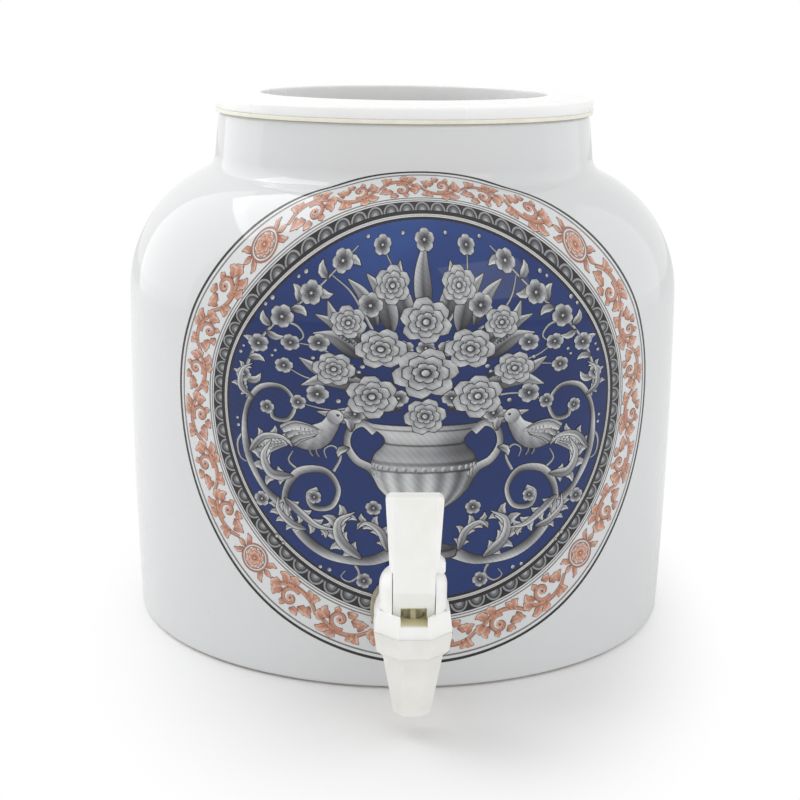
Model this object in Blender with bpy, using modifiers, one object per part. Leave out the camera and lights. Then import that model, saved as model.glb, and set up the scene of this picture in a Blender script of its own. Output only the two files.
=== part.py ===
# A glazed porcelain water crock with a bottle support ring and a plastic lever tap.
# Metres, +Z up. The origin is the middle of the crock's foot, and the tap points to -Y.

import math

import bmesh
import bpy

mm = 0.001

# Clearances that the pieces share
seat_gap = 0.3 * mm  # between two faces that rest on each other
running_gap = 0.25 * mm  # around a piece that slides or turns
cut_overrun = 2.0 * mm  # how far a cutter runs past what it cuts
join_overlap = 1.0 * mm  # how deep one shape of a moulding starts inside the next
merge_distance = 0.01 * mm  # points this close are one point

# Crock: a bowed side, a round shoulder and a short neck, all of one wall
belly_radius = 132.8 * mm
belly_height = 112.0 * mm
base_draw_in = 2.6 * mm  # how much narrower the base is than the belly
shoulder_height = 159.0 * mm
shoulder_radius = 62.0 * mm
neck_radius = 90.6 * mm
neck_draw_in = 1.9 * mm  # how much narrower the rim is than the neck's foot
neck_fillet_radius = 9.0 * mm
neck_length = 19.5 * mm
crock_wall = 7.0 * mm
crock_floor = 8.0 * mm
inner_corner_radius = 18.0 * mm
rim_edge_radius = 2.2 * mm
base_edge_radius = 1.6 * mm
foot_height = 0.8 * mm
foot_inset = 2.4 * mm

# Bottle support ring and the gasket under it
gasket_thickness = 1.3 * mm
gasket_width = 7.5 * mm
ring_overhang = 1.5 * mm  # how far the ring stands out past the crock's rim
ring_edge_height = 3.6 * mm
ring_edge_radius = 1.4 * mm
ring_plate = 3.2 * mm
ring_land = 21.4 * mm  # from the ring's outer edge in to the opening for the bottle's neck
ring_seat_width = 3.0 * mm
ring_seat_edge = 1.0 * mm
ring_crown = 7.1 * mm  # from the underside of the rim up to the bottle seat
ring_lip_thickness = 2.4 * mm
ring_lip_depth = 15.0 * mm
ring_spigot_thickness = 2.6 * mm
ring_spigot_depth = 16.0 * mm
ring_spigot_play = 0.9 * mm

# Tap: the shank through the wall, with what clamps it there
tap_height = 39.0 * mm
tap_reach = 42.8 * mm  # from the crock's wall out to the spout's axis
shank_radius = 7.9 * mm
shank_bore_radius = 4.4 * mm
shank_end_stub = 5.0 * mm  # how far the shank stands past the lock nut
wall_hole_play = 1.5 * mm
flange_radius = 15.25 * mm
flange_thickness = 3.0 * mm
flange_edge_radius = 0.8 * mm
barrel_radius = 7.6 * mm
barrel_fillet_radius = 2.0 * mm
outer_washer_radius = 16.75 * mm
outer_washer_thickness = 3.2 * mm
inner_washer_radius = 15.8 * mm
inner_washer_thickness = 2.8 * mm
nut_flange_radius = 14.6 * mm
nut_flange_thickness = 2.4 * mm
nut_half_width = 11.6 * mm
nut_thickness = 8.6 * mm
nut_edge = 1.0 * mm

# Spout body: eight flats, half-widths measured from the axis to a flat
nozzle_half_width = 7.5 * mm
spout_half_width = 12.1 * mm
band_low_half_width = 14.6 * mm
band_half_width = 15.85 * mm
spout_length = 25.5 * mm
spout_step = 2.3 * mm
band_height = 8.6 * mm
band_above_shank = 8.2 * mm  # from the shank's axis up to the body's top face
outlet_radius = 4.7 * mm
outlet_draft = 0.3 * mm
seat_height = 17.2 * mm  # from the nozzle's mouth up to the valve seat
seat_cone_rise = 2.8 * mm
chamber_radius = 9.2 * mm
socket_radius = 11.7 * mm
socket_depth = 3.6 * mm

# Bonnet: an eight-sided cap with a shallow tray and two round guards beside the lever
bonnet_height = 8.3 * mm
bonnet_top_half_width = 14.7 * mm
tray_half_width = 13.2 * mm
tray_depth = 4.1 * mm
tray_floor_thickness = 2.7 * mm
stem_hole_radius = 4.3 * mm
spring_pocket_radius = 6.4 * mm
notch_width = 10.8 * mm
notch_sill = 0.4 * mm
guard_radius = 13.7 * mm
guard_corner_radius = 7.0 * mm
guard_height = 20.8 * mm  # from the tray floor up to the guards' round top

# Lever: a heel that rolls on the tray floor and lifts the stem
cam_rest_height = 6.8 * mm  # hinge pin above the heel, lever upright
stem_lift = 2.4 * mm
lever_tilt = math.radians(45.0)
fork_swing = math.radians(60.0)  # how far the fork gap is cut, past the lever's own tilt
heel_back_angle = 68.0  # degrees above level, where the heel's round meets the lever's back
paddle_corner_sweep = 78.0  # degrees that each top corner of the paddle turns through
lever_width = 16.8 * mm
lever_front = 12.6 * mm  # hinge pin to the front face
lever_front_lean = 0.6 * mm
lever_chin_height = 6.7 * mm
lever_chin_depth = 2.2 * mm
lever_chin_slope = 3.5 * mm
lever_length = 46.2 * mm
lever_top_thickness = 7.0 * mm
lever_root_thickness = 9.2 * mm
lever_root_height = 16.0 * mm
paddle_start = 14.6 * mm  # hinge pin up to where the lever widens
paddle_step = 1.6 * mm
paddle_low_width = 19.6 * mm
paddle_top_width = 23.4 * mm
paddle_corner = 2.4 * mm
front_flat_width = 16.4 * mm
side_bevel_depth = 4.2 * mm
pocket_web = 2.6 * mm
pocket_rib = 2.1 * mm
pocket_root = 2.5 * mm
fork_gap = 10.5 * mm
lug_side = 12.4 * mm  # hinge pin's middle out to the lug's side
lug_depth = 5.0 * mm
lug_low = 14.2 * mm
lug_height = 6.0 * mm
lug_front_inset = 3.0 * mm
lug_edge = 0.6 * mm
lug_shoulder = 1.7 * mm

# Stem, hinge pin, valve spring and seat cup
pin_radius = 1.6 * mm
stem_rib_thickness = 2.2 * mm
stem_rib_width = 7.7 * mm
stem_head_thickness = 6.8 * mm
stem_head_rise = 3.8 * mm
stem_head_drop = 3.5 * mm
spring_wire_radius = 0.5 * mm
spring_turns = 6
cup_wall = 1.0 * mm
cup_rim_thickness = 1.2 * mm
cup_water_gap = 0.9 * mm
cup_floor_thickness = 4.0 * mm
cup_nose_depth = 0.5 * mm
button_radius = 2.7 * mm
button_depth = 2.2 * mm
stem_foot_thickness = 1.2 * mm

# How finely round shapes are cut
crock_steps = 64
ring_steps = 64
fitting_steps = 32
small_steps = 24
flats = 8
nut_sides = 6


def arc(center, radius, start, end, count):
    """Points along an arc, with angles in degrees from +r towards +z."""
    points = []
    for index in range(count + 1):
        angle = math.radians(start + (end - start) * index / count)
        points.append((center[0] + radius * math.cos(angle), center[1] + radius * math.sin(angle)))
    return points


def corner_radius(half_width, sides):
    """Distance from the axis to a corner, for a given distance to a flat."""
    return half_width / math.cos(math.pi / sides)


# Heights and distances that several pieces follow


def wall_radius(height):
    """Outer radius of the crock's side: a gentle bow, widest at the belly."""
    return belly_radius - base_draw_in * ((height - belly_height) / belly_height) ** 2


shoulder_slope = math.atan(
    2 * base_draw_in * (shoulder_height - belly_height) / belly_height**2
)
shoulder_center = (
    wall_radius(shoulder_height) - shoulder_radius * math.cos(shoulder_slope),
    shoulder_height - shoulder_radius * math.sin(shoulder_slope),
)
fillet_offset = neck_radius + neck_fillet_radius - shoulder_center[0]
fillet_rise = math.sqrt((shoulder_radius + neck_fillet_radius) ** 2 - fillet_offset**2)
fillet_center = (neck_radius + neck_fillet_radius, shoulder_center[1] + fillet_rise)
shoulder_end = math.degrees(math.atan2(fillet_rise, fillet_offset))
rim_height = fillet_center[1] + neck_length
rim_radius = neck_radius - neck_draw_in
ring_radius = rim_radius + ring_overhang
ring_opening_radius = ring_radius - ring_land

gasket_base = rim_height + seat_gap
ring_base = gasket_base + gasket_thickness + seat_gap

tap_wall = wall_radius(tap_height)
tap_inner_wall = tap_wall - crock_wall
spout_axis = tap_wall + tap_reach
outer_washer_face = tap_wall + seat_gap + outer_washer_thickness
flange_back = outer_washer_face + seat_gap
flange_front = flange_back + flange_thickness
inner_washer_face = tap_inner_wall - 2 * seat_gap - inner_washer_thickness
nut_face = inner_washer_face - seat_gap
shank_end = nut_face - nut_thickness - shank_end_stub

body_top = tap_height + band_above_shank
band_bottom = body_top - band_height
taper_top = band_bottom - spout_step
nozzle_mouth = taper_top - spout_length
seat_bottom = nozzle_mouth + seat_height
socket_floor = body_top - socket_depth

bonnet_base = body_top + seat_gap
bonnet_top = bonnet_base + bonnet_height
tray_floor = bonnet_top - tray_depth
tray_underside = tray_floor - tray_floor_thickness
cup_top = socket_floor + seat_gap + cup_rim_thickness
plug_bottom = cup_top + seat_gap
pin_height = tray_floor + seat_gap + cam_rest_height
pin_place = (0, -spout_axis, pin_height)

lift_per_radian = stem_lift / lever_tilt
cup_radius = chamber_radius - cup_water_gap
cup_floor_top = seat_bottom + cup_floor_thickness
foot_base = cup_floor_top + seat_gap
foot_top = foot_base + stem_foot_thickness


def clear_scene():
    for thing in list(bpy.data.objects):
        bpy.data.objects.remove(thing, do_unlink=True)


def make_collection(name, hidden):
    collection = bpy.data.collections.new(name)
    bpy.context.scene.collection.children.link(collection)
    collection.hide_render = hidden
    return collection


clear_scene()
parts = make_collection("water_dispenser", False)
helpers = make_collection("cutters", True)


def material(name, color, roughness, metallic=0.0, transmission=0.0):
    made = bpy.data.materials.new(name)
    made.use_nodes = True
    shader = made.node_tree.nodes["Principled BSDF"]
    shader.inputs["Base Color"].default_value = (*color, 1.0)
    shader.inputs["Roughness"].default_value = roughness
    shader.inputs["Metallic"].default_value = metallic
    shader.inputs["Transmission Weight"].default_value = transmission
    made.diffuse_color = (*color, 1.0)
    return made


porcelain = material("glazed_porcelain", (0.84, 0.86, 0.88), 0.08)
white_plastic = material("white_moulded_plastic", (0.90, 0.91, 0.87), 0.32)
ring_plastic = material("ring_plastic", (0.93, 0.94, 0.93), 0.28)
cream_rubber = material("cream_gasket_rubber", (0.80, 0.78, 0.62), 0.60)
tan_rubber = material("tan_washer_rubber", (0.33, 0.29, 0.22), 0.70)
silicone = material("clear_silicone", (0.86, 0.88, 0.86), 0.35, transmission=0.3)
steel = material("stainless_spring_steel", (0.60, 0.60, 0.62), 0.25, metallic=1.0)


def place(thing, finish, location=(0, 0, 0), rotation=(0, 0, 0)):
    """Puts a piece in the parts collection, or a helper without a finish in the cutters."""
    thing.location = location
    thing.rotation_euler = rotation
    if finish is None:
        helpers.objects.link(thing)
        thing.hide_render = True
        thing.display_type = "WIRE"
    else:
        parts.objects.link(thing)
        thing.data.materials.append(finish)
    return thing


def turned(name, profile, steps, finish=None, location=(0, 0, 0), rotation=(0, 0, 0)):
    """Turns a profile of (radius, height) points round the local Z axis."""
    mesh = bpy.data.meshes.new(name)
    on_axis = profile[0][0] == 0 and profile[-1][0] == 0
    edges = [(i, i + 1) for i in range(len(profile) - 1)]
    if not on_axis:
        edges.append((len(profile) - 1, 0))
    mesh.from_pydata([(radius, 0, height) for radius, height in profile], edges, [])
    thing = bpy.data.objects.new(name, mesh)
    screw = thing.modifiers.new("turn", "SCREW")
    screw.axis = "Z"
    screw.angle = 2 * math.pi
    screw.steps = steps
    screw.render_steps = steps
    screw.use_merge_vertices = True
    screw.merge_threshold = merge_distance
    screw.use_smooth_shade = steps > flats
    return place(thing, finish, location, rotation)


def box(name, low, high, finish=None, location=(0, 0, 0)):
    mesh = bpy.data.meshes.new(name)
    shape = bmesh.new()
    bmesh.ops.create_cube(shape, size=1.0)
    for vertex in shape.verts:
        for axis in range(3):
            middle = (low[axis] + high[axis]) / 2
            vertex.co[axis] = middle + vertex.co[axis] * (high[axis] - low[axis])
    shape.to_mesh(mesh)
    shape.free()
    return place(bpy.data.objects.new(name, mesh), finish, location)


def plate(name, outline, half_depth, finish=None, location=(0, 0, 0), rotation=(0, 0, 0)):
    """A flat outline in the local XY plane, given a thickness along local Z."""
    curve = bpy.data.curves.new(name, "CURVE")
    curve.dimensions = "2D"
    curve.fill_mode = "BOTH"
    curve.extrude = half_depth
    spline = curve.splines.new("POLY")
    spline.points.add(len(outline) - 1)
    for point, (across, up) in zip(spline.points, outline):
        point.co = (across, up, 0, 1)
    spline.use_cyclic_u = True
    guide = bpy.data.objects.new(name + "_guide", curve)
    bpy.context.scene.collection.objects.link(guide)
    bpy.context.view_layer.update()
    graph = bpy.context.evaluated_depsgraph_get()
    mesh = bpy.data.meshes.new_from_object(guide.evaluated_get(graph))
    bpy.data.objects.remove(guide, do_unlink=True)
    mesh.name = name
    shape = bmesh.new()
    shape.from_mesh(mesh)
    bmesh.ops.remove_doubles(shape, verts=shape.verts, dist=merge_distance)
    bmesh.ops.recalc_face_normals(shape, faces=shape.faces)
    shape.to_mesh(mesh)
    shape.free()
    return place(bpy.data.objects.new(name, mesh), finish, location, rotation)


def combine(target, other, operation):
    change = target.modifiers.new(operation.lower(), "BOOLEAN")
    change.operation = operation
    change.solver = "EXACT"
    change.object = other


def cut(target, *cutters):
    for cutter in cutters:
        combine(target, cutter, "DIFFERENCE")


def join(target, *others):
    for other in others:
        combine(target, other, "UNION")


# Local +Z points out of the crock along -Y, so a profile's height is its distance from the crock's axis
outward = (math.pi / 2, 0, 0)
tap_axis = (0, 0, tap_height)
spout_place = (0, -spout_axis, 0)
flat_to_front = (0, 0, math.pi / flats)
# Local X and Y of a plate become world Y and Z
side_on = (math.pi / 2, 0, math.pi / 2)
# Local X and Y of a plate become world X and Z
front_on = (math.pi / 2, 0, 0)


def neck_line(inset, height):
    """Radius of the neck, which leans in from the fillet to the rim."""
    share = (height - fillet_center[1]) / neck_length
    return neck_radius - neck_draw_in * share - inset


def side_outline(inset, low, wall_points, shoulder_points, fillet_points):
    """The crock's side from the neck's foot down to a height, drawn in by the inset."""
    points = arc(
        fillet_center, neck_fillet_radius + inset, 180, 180 + shoulder_end, fillet_points
    )
    points += arc(
        shoulder_center,
        shoulder_radius - inset,
        shoulder_end,
        math.degrees(shoulder_slope),
        shoulder_points,
    )[1:]
    for index in range(1, wall_points + 1):
        height = shoulder_height + (low - shoulder_height) * index / wall_points
        points.append((wall_radius(height) - inset, height))
    return points


def make_crock():
    inner_low = crock_floor + inner_corner_radius
    inner = side_outline(crock_wall, inner_low, 4, 8, 3)
    inner.reverse()
    corner_center = (wall_radius(inner_low) - crock_wall - inner_corner_radius, inner_low)
    floor = [(0, crock_floor)] + arc(corner_center, inner_corner_radius, -90, 0, 5)[:-1]
    rim_base = rim_height - rim_edge_radius
    rim = arc(
        (neck_line(crock_wall, rim_base) + rim_edge_radius, rim_base),
        rim_edge_radius,
        180,
        90,
        3,
    )
    rim += arc(
        (neck_line(0, rim_base) - rim_edge_radius, rim_base), rim_edge_radius, 90, 0, 3
    )
    base_low = foot_height + base_edge_radius
    outer = side_outline(0, base_low, 5, 10, 4)
    base_radius = wall_radius(base_low)
    base = arc(
        (base_radius - base_edge_radius, base_low), base_edge_radius, 0, -90, 3
    )[1:]
    foot_radius = base_radius - foot_inset
    base += [(foot_radius, foot_height), (foot_radius, 0), (0, 0)]
    crock = turned("crock", floor + inner + rim + outer + base, crock_steps, porcelain)
    hole_radius = shank_radius + wall_hole_play
    hole = turned(
        "crock_tap_hole",
        [
            (0, tap_wall + cut_overrun),
            (hole_radius, tap_wall + cut_overrun),
            (hole_radius, tap_inner_wall - cut_overrun),
            (0, tap_inner_wall - cut_overrun),
        ],
        fitting_steps,
        location=tap_axis,
        rotation=outward,
    )
    cut(crock, hole)


def make_support_ring():
    top = ring_base + ring_crown
    seat_outer = ring_opening_radius + ring_seat_width
    edge_center = (ring_radius - ring_edge_radius, ring_base + ring_edge_height)
    spigot_radius = neck_line(crock_wall, rim_height) - ring_spigot_play
    spigot_low = rim_height - ring_spigot_depth
    spigot_inner = spigot_radius - ring_spigot_thickness
    lip_outer = ring_opening_radius + ring_lip_thickness
    lip_low = top - ring_lip_depth
    outer_low = [
        (ring_radius, ring_base),
        (spigot_radius, ring_base),
        (spigot_radius, spigot_low),
        (spigot_inner, spigot_low),
        (spigot_inner, edge_center[1] + ring_edge_radius - ring_plate),
        (lip_outer, top - ring_plate),
        (lip_outer, lip_low),
        (ring_opening_radius, lip_low),
        (ring_opening_radius, top - ring_seat_edge),
        (ring_opening_radius + ring_seat_edge, top),
        (seat_outer, top),
    ]
    profile = arc(edge_center, ring_edge_radius, 90, 0, 4) + outer_low
    turned("support_ring", profile, ring_steps, ring_plastic)


def make_ring_gasket():
    inner = ring_radius - gasket_width
    top = gasket_base + gasket_thickness
    profile = [(ring_radius, top), (ring_radius, gasket_base), (inner, gasket_base), (inner, top)]
    turned("ring_gasket", profile, ring_steps, cream_rubber)


def wall_cutter(name, inset, reach):
    """A solid that fills the crock's side near the tap, out to its wall less the inset."""
    levels = [tap_height + reach * share for share in (1, 0.5, 0, -0.5, -1)]
    side = [(wall_radius(level) - inset, level) for level in levels]
    profile = [(0, levels[0])] + side + [(0, levels[-1])]
    return turned(name, profile, 2 * crock_steps)


def make_outer_washer():
    hole = shank_radius + seat_gap
    washer = turned(
        "outer_washer",
        [
            (outer_washer_radius, outer_washer_face),
            (outer_washer_radius, tap_wall - outer_washer_thickness),
            (hole, tap_wall - outer_washer_thickness),
            (hole, outer_washer_face),
        ],
        fitting_steps,
        tan_rubber,
        tap_axis,
        outward,
    )
    cut(washer, wall_cutter("outer_wall", -seat_gap, 2 * outer_washer_radius))


def make_inner_washer():
    hole = shank_radius + seat_gap
    washer = turned(
        "inner_washer",
        [
            (inner_washer_radius, tap_inner_wall + cut_overrun),
            (inner_washer_radius, inner_washer_face),
            (hole, inner_washer_face),
            (hole, tap_inner_wall + cut_overrun),
        ],
        fitting_steps,
        tan_rubber,
        tap_axis,
        outward,
    )
    wall = wall_cutter("inner_wall", crock_wall + 2 * seat_gap, 2 * inner_washer_radius)
    combine(washer, wall, "INTERSECT")


def make_lock_nut():
    hole = shank_radius + seat_gap
    hex_corner = corner_radius(nut_half_width, nut_sides)
    far_face = nut_face - nut_thickness
    nut = turned(
        "lock_nut",
        [
            (nut_flange_radius, nut_face),
            (nut_flange_radius, nut_face - nut_flange_thickness),
            (hole, nut_face - nut_flange_thickness),
            (hole, nut_face),
        ],
        fitting_steps,
        white_plastic,
        tap_axis,
        outward,
    )
    hexagon = turned(
        "lock_nut_hexagon",
        [
            (hex_corner, nut_face - nut_flange_thickness + join_overlap),
            (hex_corner, far_face + nut_edge),
            (hex_corner - nut_edge, far_face),
            (hole, far_face),
            (hole, nut_face - nut_flange_thickness + join_overlap),
        ],
        nut_sides,
        location=tap_axis,
        rotation=outward,
    )
    bore = turned(
        "lock_nut_bore",
        [
            (0, nut_face + cut_overrun),
            (hole, nut_face + cut_overrun),
            (hole, far_face - cut_overrun),
            (0, far_face - cut_overrun),
        ],
        fitting_steps,
        location=tap_axis,
        rotation=outward,
    )
    join(nut, hexagon)
    cut(nut, bore)


def make_tap_body():
    body = turned(
        "tap_body",
        [
            (0, body_top),
            (corner_radius(band_half_width, flats), body_top),
            (corner_radius(band_low_half_width, flats), band_bottom),
            (corner_radius(spout_half_width, flats), taper_top),
            (corner_radius(nozzle_half_width, flats), nozzle_mouth),
            (0, nozzle_mouth),
        ],
        flats,
        white_plastic,
        spout_place,
        flat_to_front,
    )
    barrel_end = spout_axis - chamber_radius
    fillet_at = (barrel_radius + barrel_fillet_radius, flange_front + barrel_fillet_radius)
    edge_at = (flange_radius - flange_edge_radius, flange_front - flange_edge_radius)
    shank = turned(
        "tap_shank",
        [(0, barrel_end), (barrel_radius, barrel_end)]
        + arc(fillet_at, barrel_fillet_radius, 180, 270, 3)
        + arc(edge_at, flange_edge_radius, 90, 0, 2)
        + [
            (flange_radius, flange_back),
            (shank_radius, flange_back),
            (shank_radius, shank_end),
            (0, shank_end),
        ],
        fitting_steps,
        location=tap_axis,
        rotation=outward,
    )
    inlet = turned(
        "tap_inlet",
        [
            (0, spout_axis),
            (shank_bore_radius, spout_axis),
            (shank_bore_radius, shank_end - cut_overrun),
            (0, shank_end - cut_overrun),
        ],
        small_steps,
        location=tap_axis,
        rotation=outward,
    )
    chamber = turned(
        "tap_chamber",
        [
            (0, body_top + cut_overrun),
            (socket_radius, body_top + cut_overrun),
            (socket_radius, socket_floor),
            (chamber_radius, socket_floor),
            (chamber_radius, seat_bottom + seat_cone_rise),
            (outlet_radius + outlet_draft, seat_bottom),
            (outlet_radius, nozzle_mouth - cut_overrun),
            (0, nozzle_mouth - cut_overrun),
        ],
        fitting_steps,
        location=spout_place,
    )
    join(body, shank)
    cut(body, chamber, inlet)


def make_bonnet():
    bonnet = turned(
        "bonnet",
        [
            (0, tray_floor),
            (corner_radius(tray_half_width, flats), tray_floor),
            (corner_radius(tray_half_width, flats), bonnet_top),
            (corner_radius(bonnet_top_half_width, flats), bonnet_top),
            (corner_radius(band_half_width, flats), bonnet_base),
            (0, bonnet_base),
        ],
        flats,
        white_plastic,
        spout_place,
        flat_to_front,
    )
    plug_radius = socket_radius - seat_gap
    plug = turned(
        "bonnet_plug",
        [
            (0, bonnet_base + join_overlap),
            (plug_radius, bonnet_base + join_overlap),
            (plug_radius, plug_bottom),
            (0, plug_bottom),
        ],
        fitting_steps,
        location=spout_place,
    )
    guard_top = tray_floor + guard_height
    guard_corner = (guard_radius - guard_corner_radius, guard_top - guard_corner_radius)
    guards = turned(
        "bonnet_guards",
        [(0, guard_top)]
        + arc(guard_corner, guard_corner_radius, 90, 0, 8)
        + [(guard_radius, tray_floor - join_overlap), (0, tray_floor - join_overlap)],
        fitting_steps,
        location=spout_place,
    )
    slot_half = lever_width / 2 + seat_gap
    slot_reach = guard_radius + cut_overrun
    slot = box(
        "bonnet_slot",
        (-slot_half, -slot_reach, tray_floor - slot_reach),
        (slot_half, slot_reach, guard_top + cut_overrun),
        location=spout_place,
    )
    cut(guards, slot)
    stem_hole = turned(
        "bonnet_stem_hole",
        [
            (0, tray_floor + cut_overrun),
            (stem_hole_radius, tray_floor + cut_overrun),
            (stem_hole_radius, tray_underside),
            (spring_pocket_radius, tray_underside),
            (spring_pocket_radius, plug_bottom - cut_overrun),
            (0, plug_bottom - cut_overrun),
        ],
        fitting_steps,
        location=spout_place,
    )
    notch = box(
        "bonnet_notch",
        (-notch_width / 2, -band_half_width - cut_overrun, tray_floor + notch_sill),
        (notch_width / 2, join_overlap - tray_half_width, bonnet_top + cut_overrun),
        location=spout_place,
    )
    join(bonnet, plug, guards)
    cut(bonnet, stem_hole, notch)


def cam_point(angle):
    """A point of the heel, whose lowest point falls steadily further below the pin as it tilts."""
    below = cam_rest_height + lift_per_radian * angle
    across = -below * math.sin(angle) - lift_per_radian * math.cos(angle)
    up = -below * math.cos(angle) + lift_per_radian * math.sin(angle)
    return (across, up)


def lever_side():
    """The lever seen from its side: front to the left, hinge pin at zero."""
    top_front = -lever_front + lever_front_lean
    root_rear = -lever_front + lever_root_thickness
    outline = [cam_point(lever_tilt * step / 8) for step in range(9)]
    outline += [
        (lever_chin_depth - lever_front, lever_chin_height - lever_chin_slope),
        (-lever_front, lever_chin_height),
        (-lever_front, paddle_start),
        (top_front, lever_length),
        (top_front + lever_top_thickness, lever_length),
        (root_rear, lever_root_height),
    ]
    outline += arc((0, 0), cam_rest_height, heel_back_angle, -90, 10)
    return outline


def paddle_front(shrink, low, high):
    """Half of the paddle's front outline between two heights, drawn in by a rib's width."""
    rise_share = (high - paddle_start - paddle_step) / (lever_length - paddle_start - paddle_step)
    low_half = paddle_low_width / 2 - shrink
    high_half = low_half + (paddle_top_width - paddle_low_width) / 2 * rise_share
    return low_half, high_half


def mirrored(right_side):
    """Closes a symmetric outline from the points of its right side, bottom to top."""
    return right_side + [(-across, up) for across, up in reversed(right_side)]


def make_lever():
    lever = plate(
        "lever", lever_side(), paddle_top_width / 2 + join_overlap, white_plastic, pin_place, side_on
    )
    hub_half = lever_width / 2
    corner_low = lever_length - paddle_corner
    low_half, high_half = paddle_front(0, paddle_start + paddle_step, corner_low)
    corner = arc((high_half - paddle_corner, corner_low), paddle_corner, 0, paddle_corner_sweep, 3)
    right_side = [
        (hub_half, -lever_front),
        (hub_half, paddle_start),
        (low_half, paddle_start + paddle_step),
        *corner,
        (high_half - paddle_corner, lever_length + cut_overrun),
    ]
    front = plate(
        "lever_front_outline",
        mirrored(right_side),
        2 * lever_front,
        location=pin_place,
        rotation=front_on,
    )
    combine(lever, front, "INTERSECT")

    flat_half = front_flat_width / 2
    spread = (paddle_top_width / 2 - flat_half) / side_bevel_depth
    past = cut_overrun * spread
    for name, side in (("lever_bevel_left", -1), ("lever_bevel_right", 1)):
        outline = [
            (side * (flat_half - past), -lever_front - cut_overrun),
            (side * (paddle_top_width / 2 + past), side_bevel_depth - lever_front + cut_overrun),
            (side * (paddle_top_width / 2 + past), -lever_front - cut_overrun),
        ]
        bevel = plate(name, outline, 2 * lever_length, location=pin_place)
        cut(lever, bevel)

    pocket_low = paddle_start + pocket_root
    pocket_high = lever_length - pocket_rib
    low_half, high_half = paddle_front(pocket_rib, pocket_low, pocket_high)
    pocket = plate(
        "lever_pocket",
        mirrored([(low_half, pocket_low), (high_half, pocket_high)]),
        lever_front,
        location=(0, -spout_axis + pocket_web, pin_height),
        rotation=front_on,
    )
    cut(lever, pocket)

    head_reach = math.hypot(stem_head_thickness / 2, stem_head_rise) + seat_gap
    cavity_rear = stem_rib_width / 2 + seat_gap
    swing_cos, swing_sin = math.cos(fork_swing), math.sin(fork_swing)
    front_start = (-cavity_rear * swing_cos, cavity_rear * swing_sin)
    reach = lever_front + cut_overrun
    front_end = (front_start[0] - reach * swing_sin, front_start[1] - reach * swing_cos)
    rear_angle = -math.degrees(math.acos(cavity_rear / head_reach))
    front_angle = 180 - math.degrees(fork_swing) - rear_angle
    fork_outline = arc((0, 0), head_reach, rear_angle, front_angle, 12)
    fork_outline += [front_end, (front_end[0], -reach), (cavity_rear, -reach)]
    fork = plate(
        "lever_fork_gap", fork_outline, fork_gap / 2, location=pin_place, rotation=side_on
    )
    pin_hole = turned(
        "lever_pin_hole",
        [
            (0, lever_width),
            (pin_radius + running_gap, lever_width),
            (pin_radius + running_gap, -lever_width),
            (0, -lever_width),
        ],
        small_steps,
        location=pin_place,
        rotation=(0, math.pi / 2, 0),
    )
    cut(lever, fork, pin_hole)

    lug_high = lug_low + lug_height
    lug_outline = [
        (hub_half, lug_low),
        (lug_side - lug_edge, lug_low),
        (lug_side, lug_low + lug_edge),
        (lug_side, lug_high - lug_shoulder),
        (lug_side - lug_shoulder, lug_high),
        (hub_half, lug_high),
    ]
    lug_middle = lug_front_inset + lug_depth / 2 - lever_front
    lug = plate(
        "lever_lug",
        lug_outline,
        lug_depth / 2,
        location=(0, lug_middle - spout_axis, pin_height),
        rotation=front_on,
    )
    join(lever, lug)


def make_hinge_pin():
    half_length = lever_width / 2 - running_gap
    profile = [
        (0, half_length),
        (pin_radius, half_length),
        (pin_radius, -half_length),
        (0, -half_length),
    ]
    turned(
        "hinge_pin", profile, small_steps, steel, pin_place, (0, math.pi / 2, 0)
    )


def make_stem():
    rib = stem_rib_thickness / 2
    arm = stem_rib_width / 2
    cross = [
        (arm, -rib), (arm, rib), (rib, rib), (rib, arm), (-rib, arm), (-rib, rib),
        (-arm, rib), (-arm, -rib), (-rib, -rib), (-rib, -arm), (rib, -arm), (rib, -rib),
    ]
    shaft_low = foot_top - stem_foot_thickness / 2
    shaft_high = pin_height - stem_head_drop + join_overlap
    stem = plate(
        "stem",
        cross,
        (shaft_high - shaft_low) / 2,
        white_plastic,
        (0, -spout_axis, (shaft_low + shaft_high) / 2),
    )
    head_half = fork_gap / 2 - seat_gap
    round_rise = stem_head_rise - stem_head_thickness / 2
    head_outline = [
        (stem_head_thickness / 2, -stem_head_drop),
        *arc((0, round_rise), stem_head_thickness / 2, 0, 180, 8),
        (-stem_head_thickness / 2, -stem_head_drop),
    ]
    head = plate("stem_head", head_outline, head_half, location=pin_place, rotation=side_on)
    foot_radius = cup_radius - cup_wall - 2 * seat_gap
    foot = turned(
        "stem_foot",
        [
            (0, foot_top),
            (foot_radius, foot_top),
            (foot_radius, foot_base),
            (button_radius, foot_base),
            (button_radius, foot_base - button_depth),
            (0, foot_base - button_depth),
        ],
        small_steps,
        location=spout_place,
    )
    pin_hole = turned(
        "stem_pin_hole",
        [
            (0, lever_width),
            (pin_radius + running_gap, lever_width),
            (pin_radius + running_gap, -lever_width),
            (0, -lever_width),
        ],
        small_steps,
        location=pin_place,
        rotation=(0, math.pi / 2, 0),
    )
    join(stem, head, foot)
    cut(stem, pin_hole)


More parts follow.
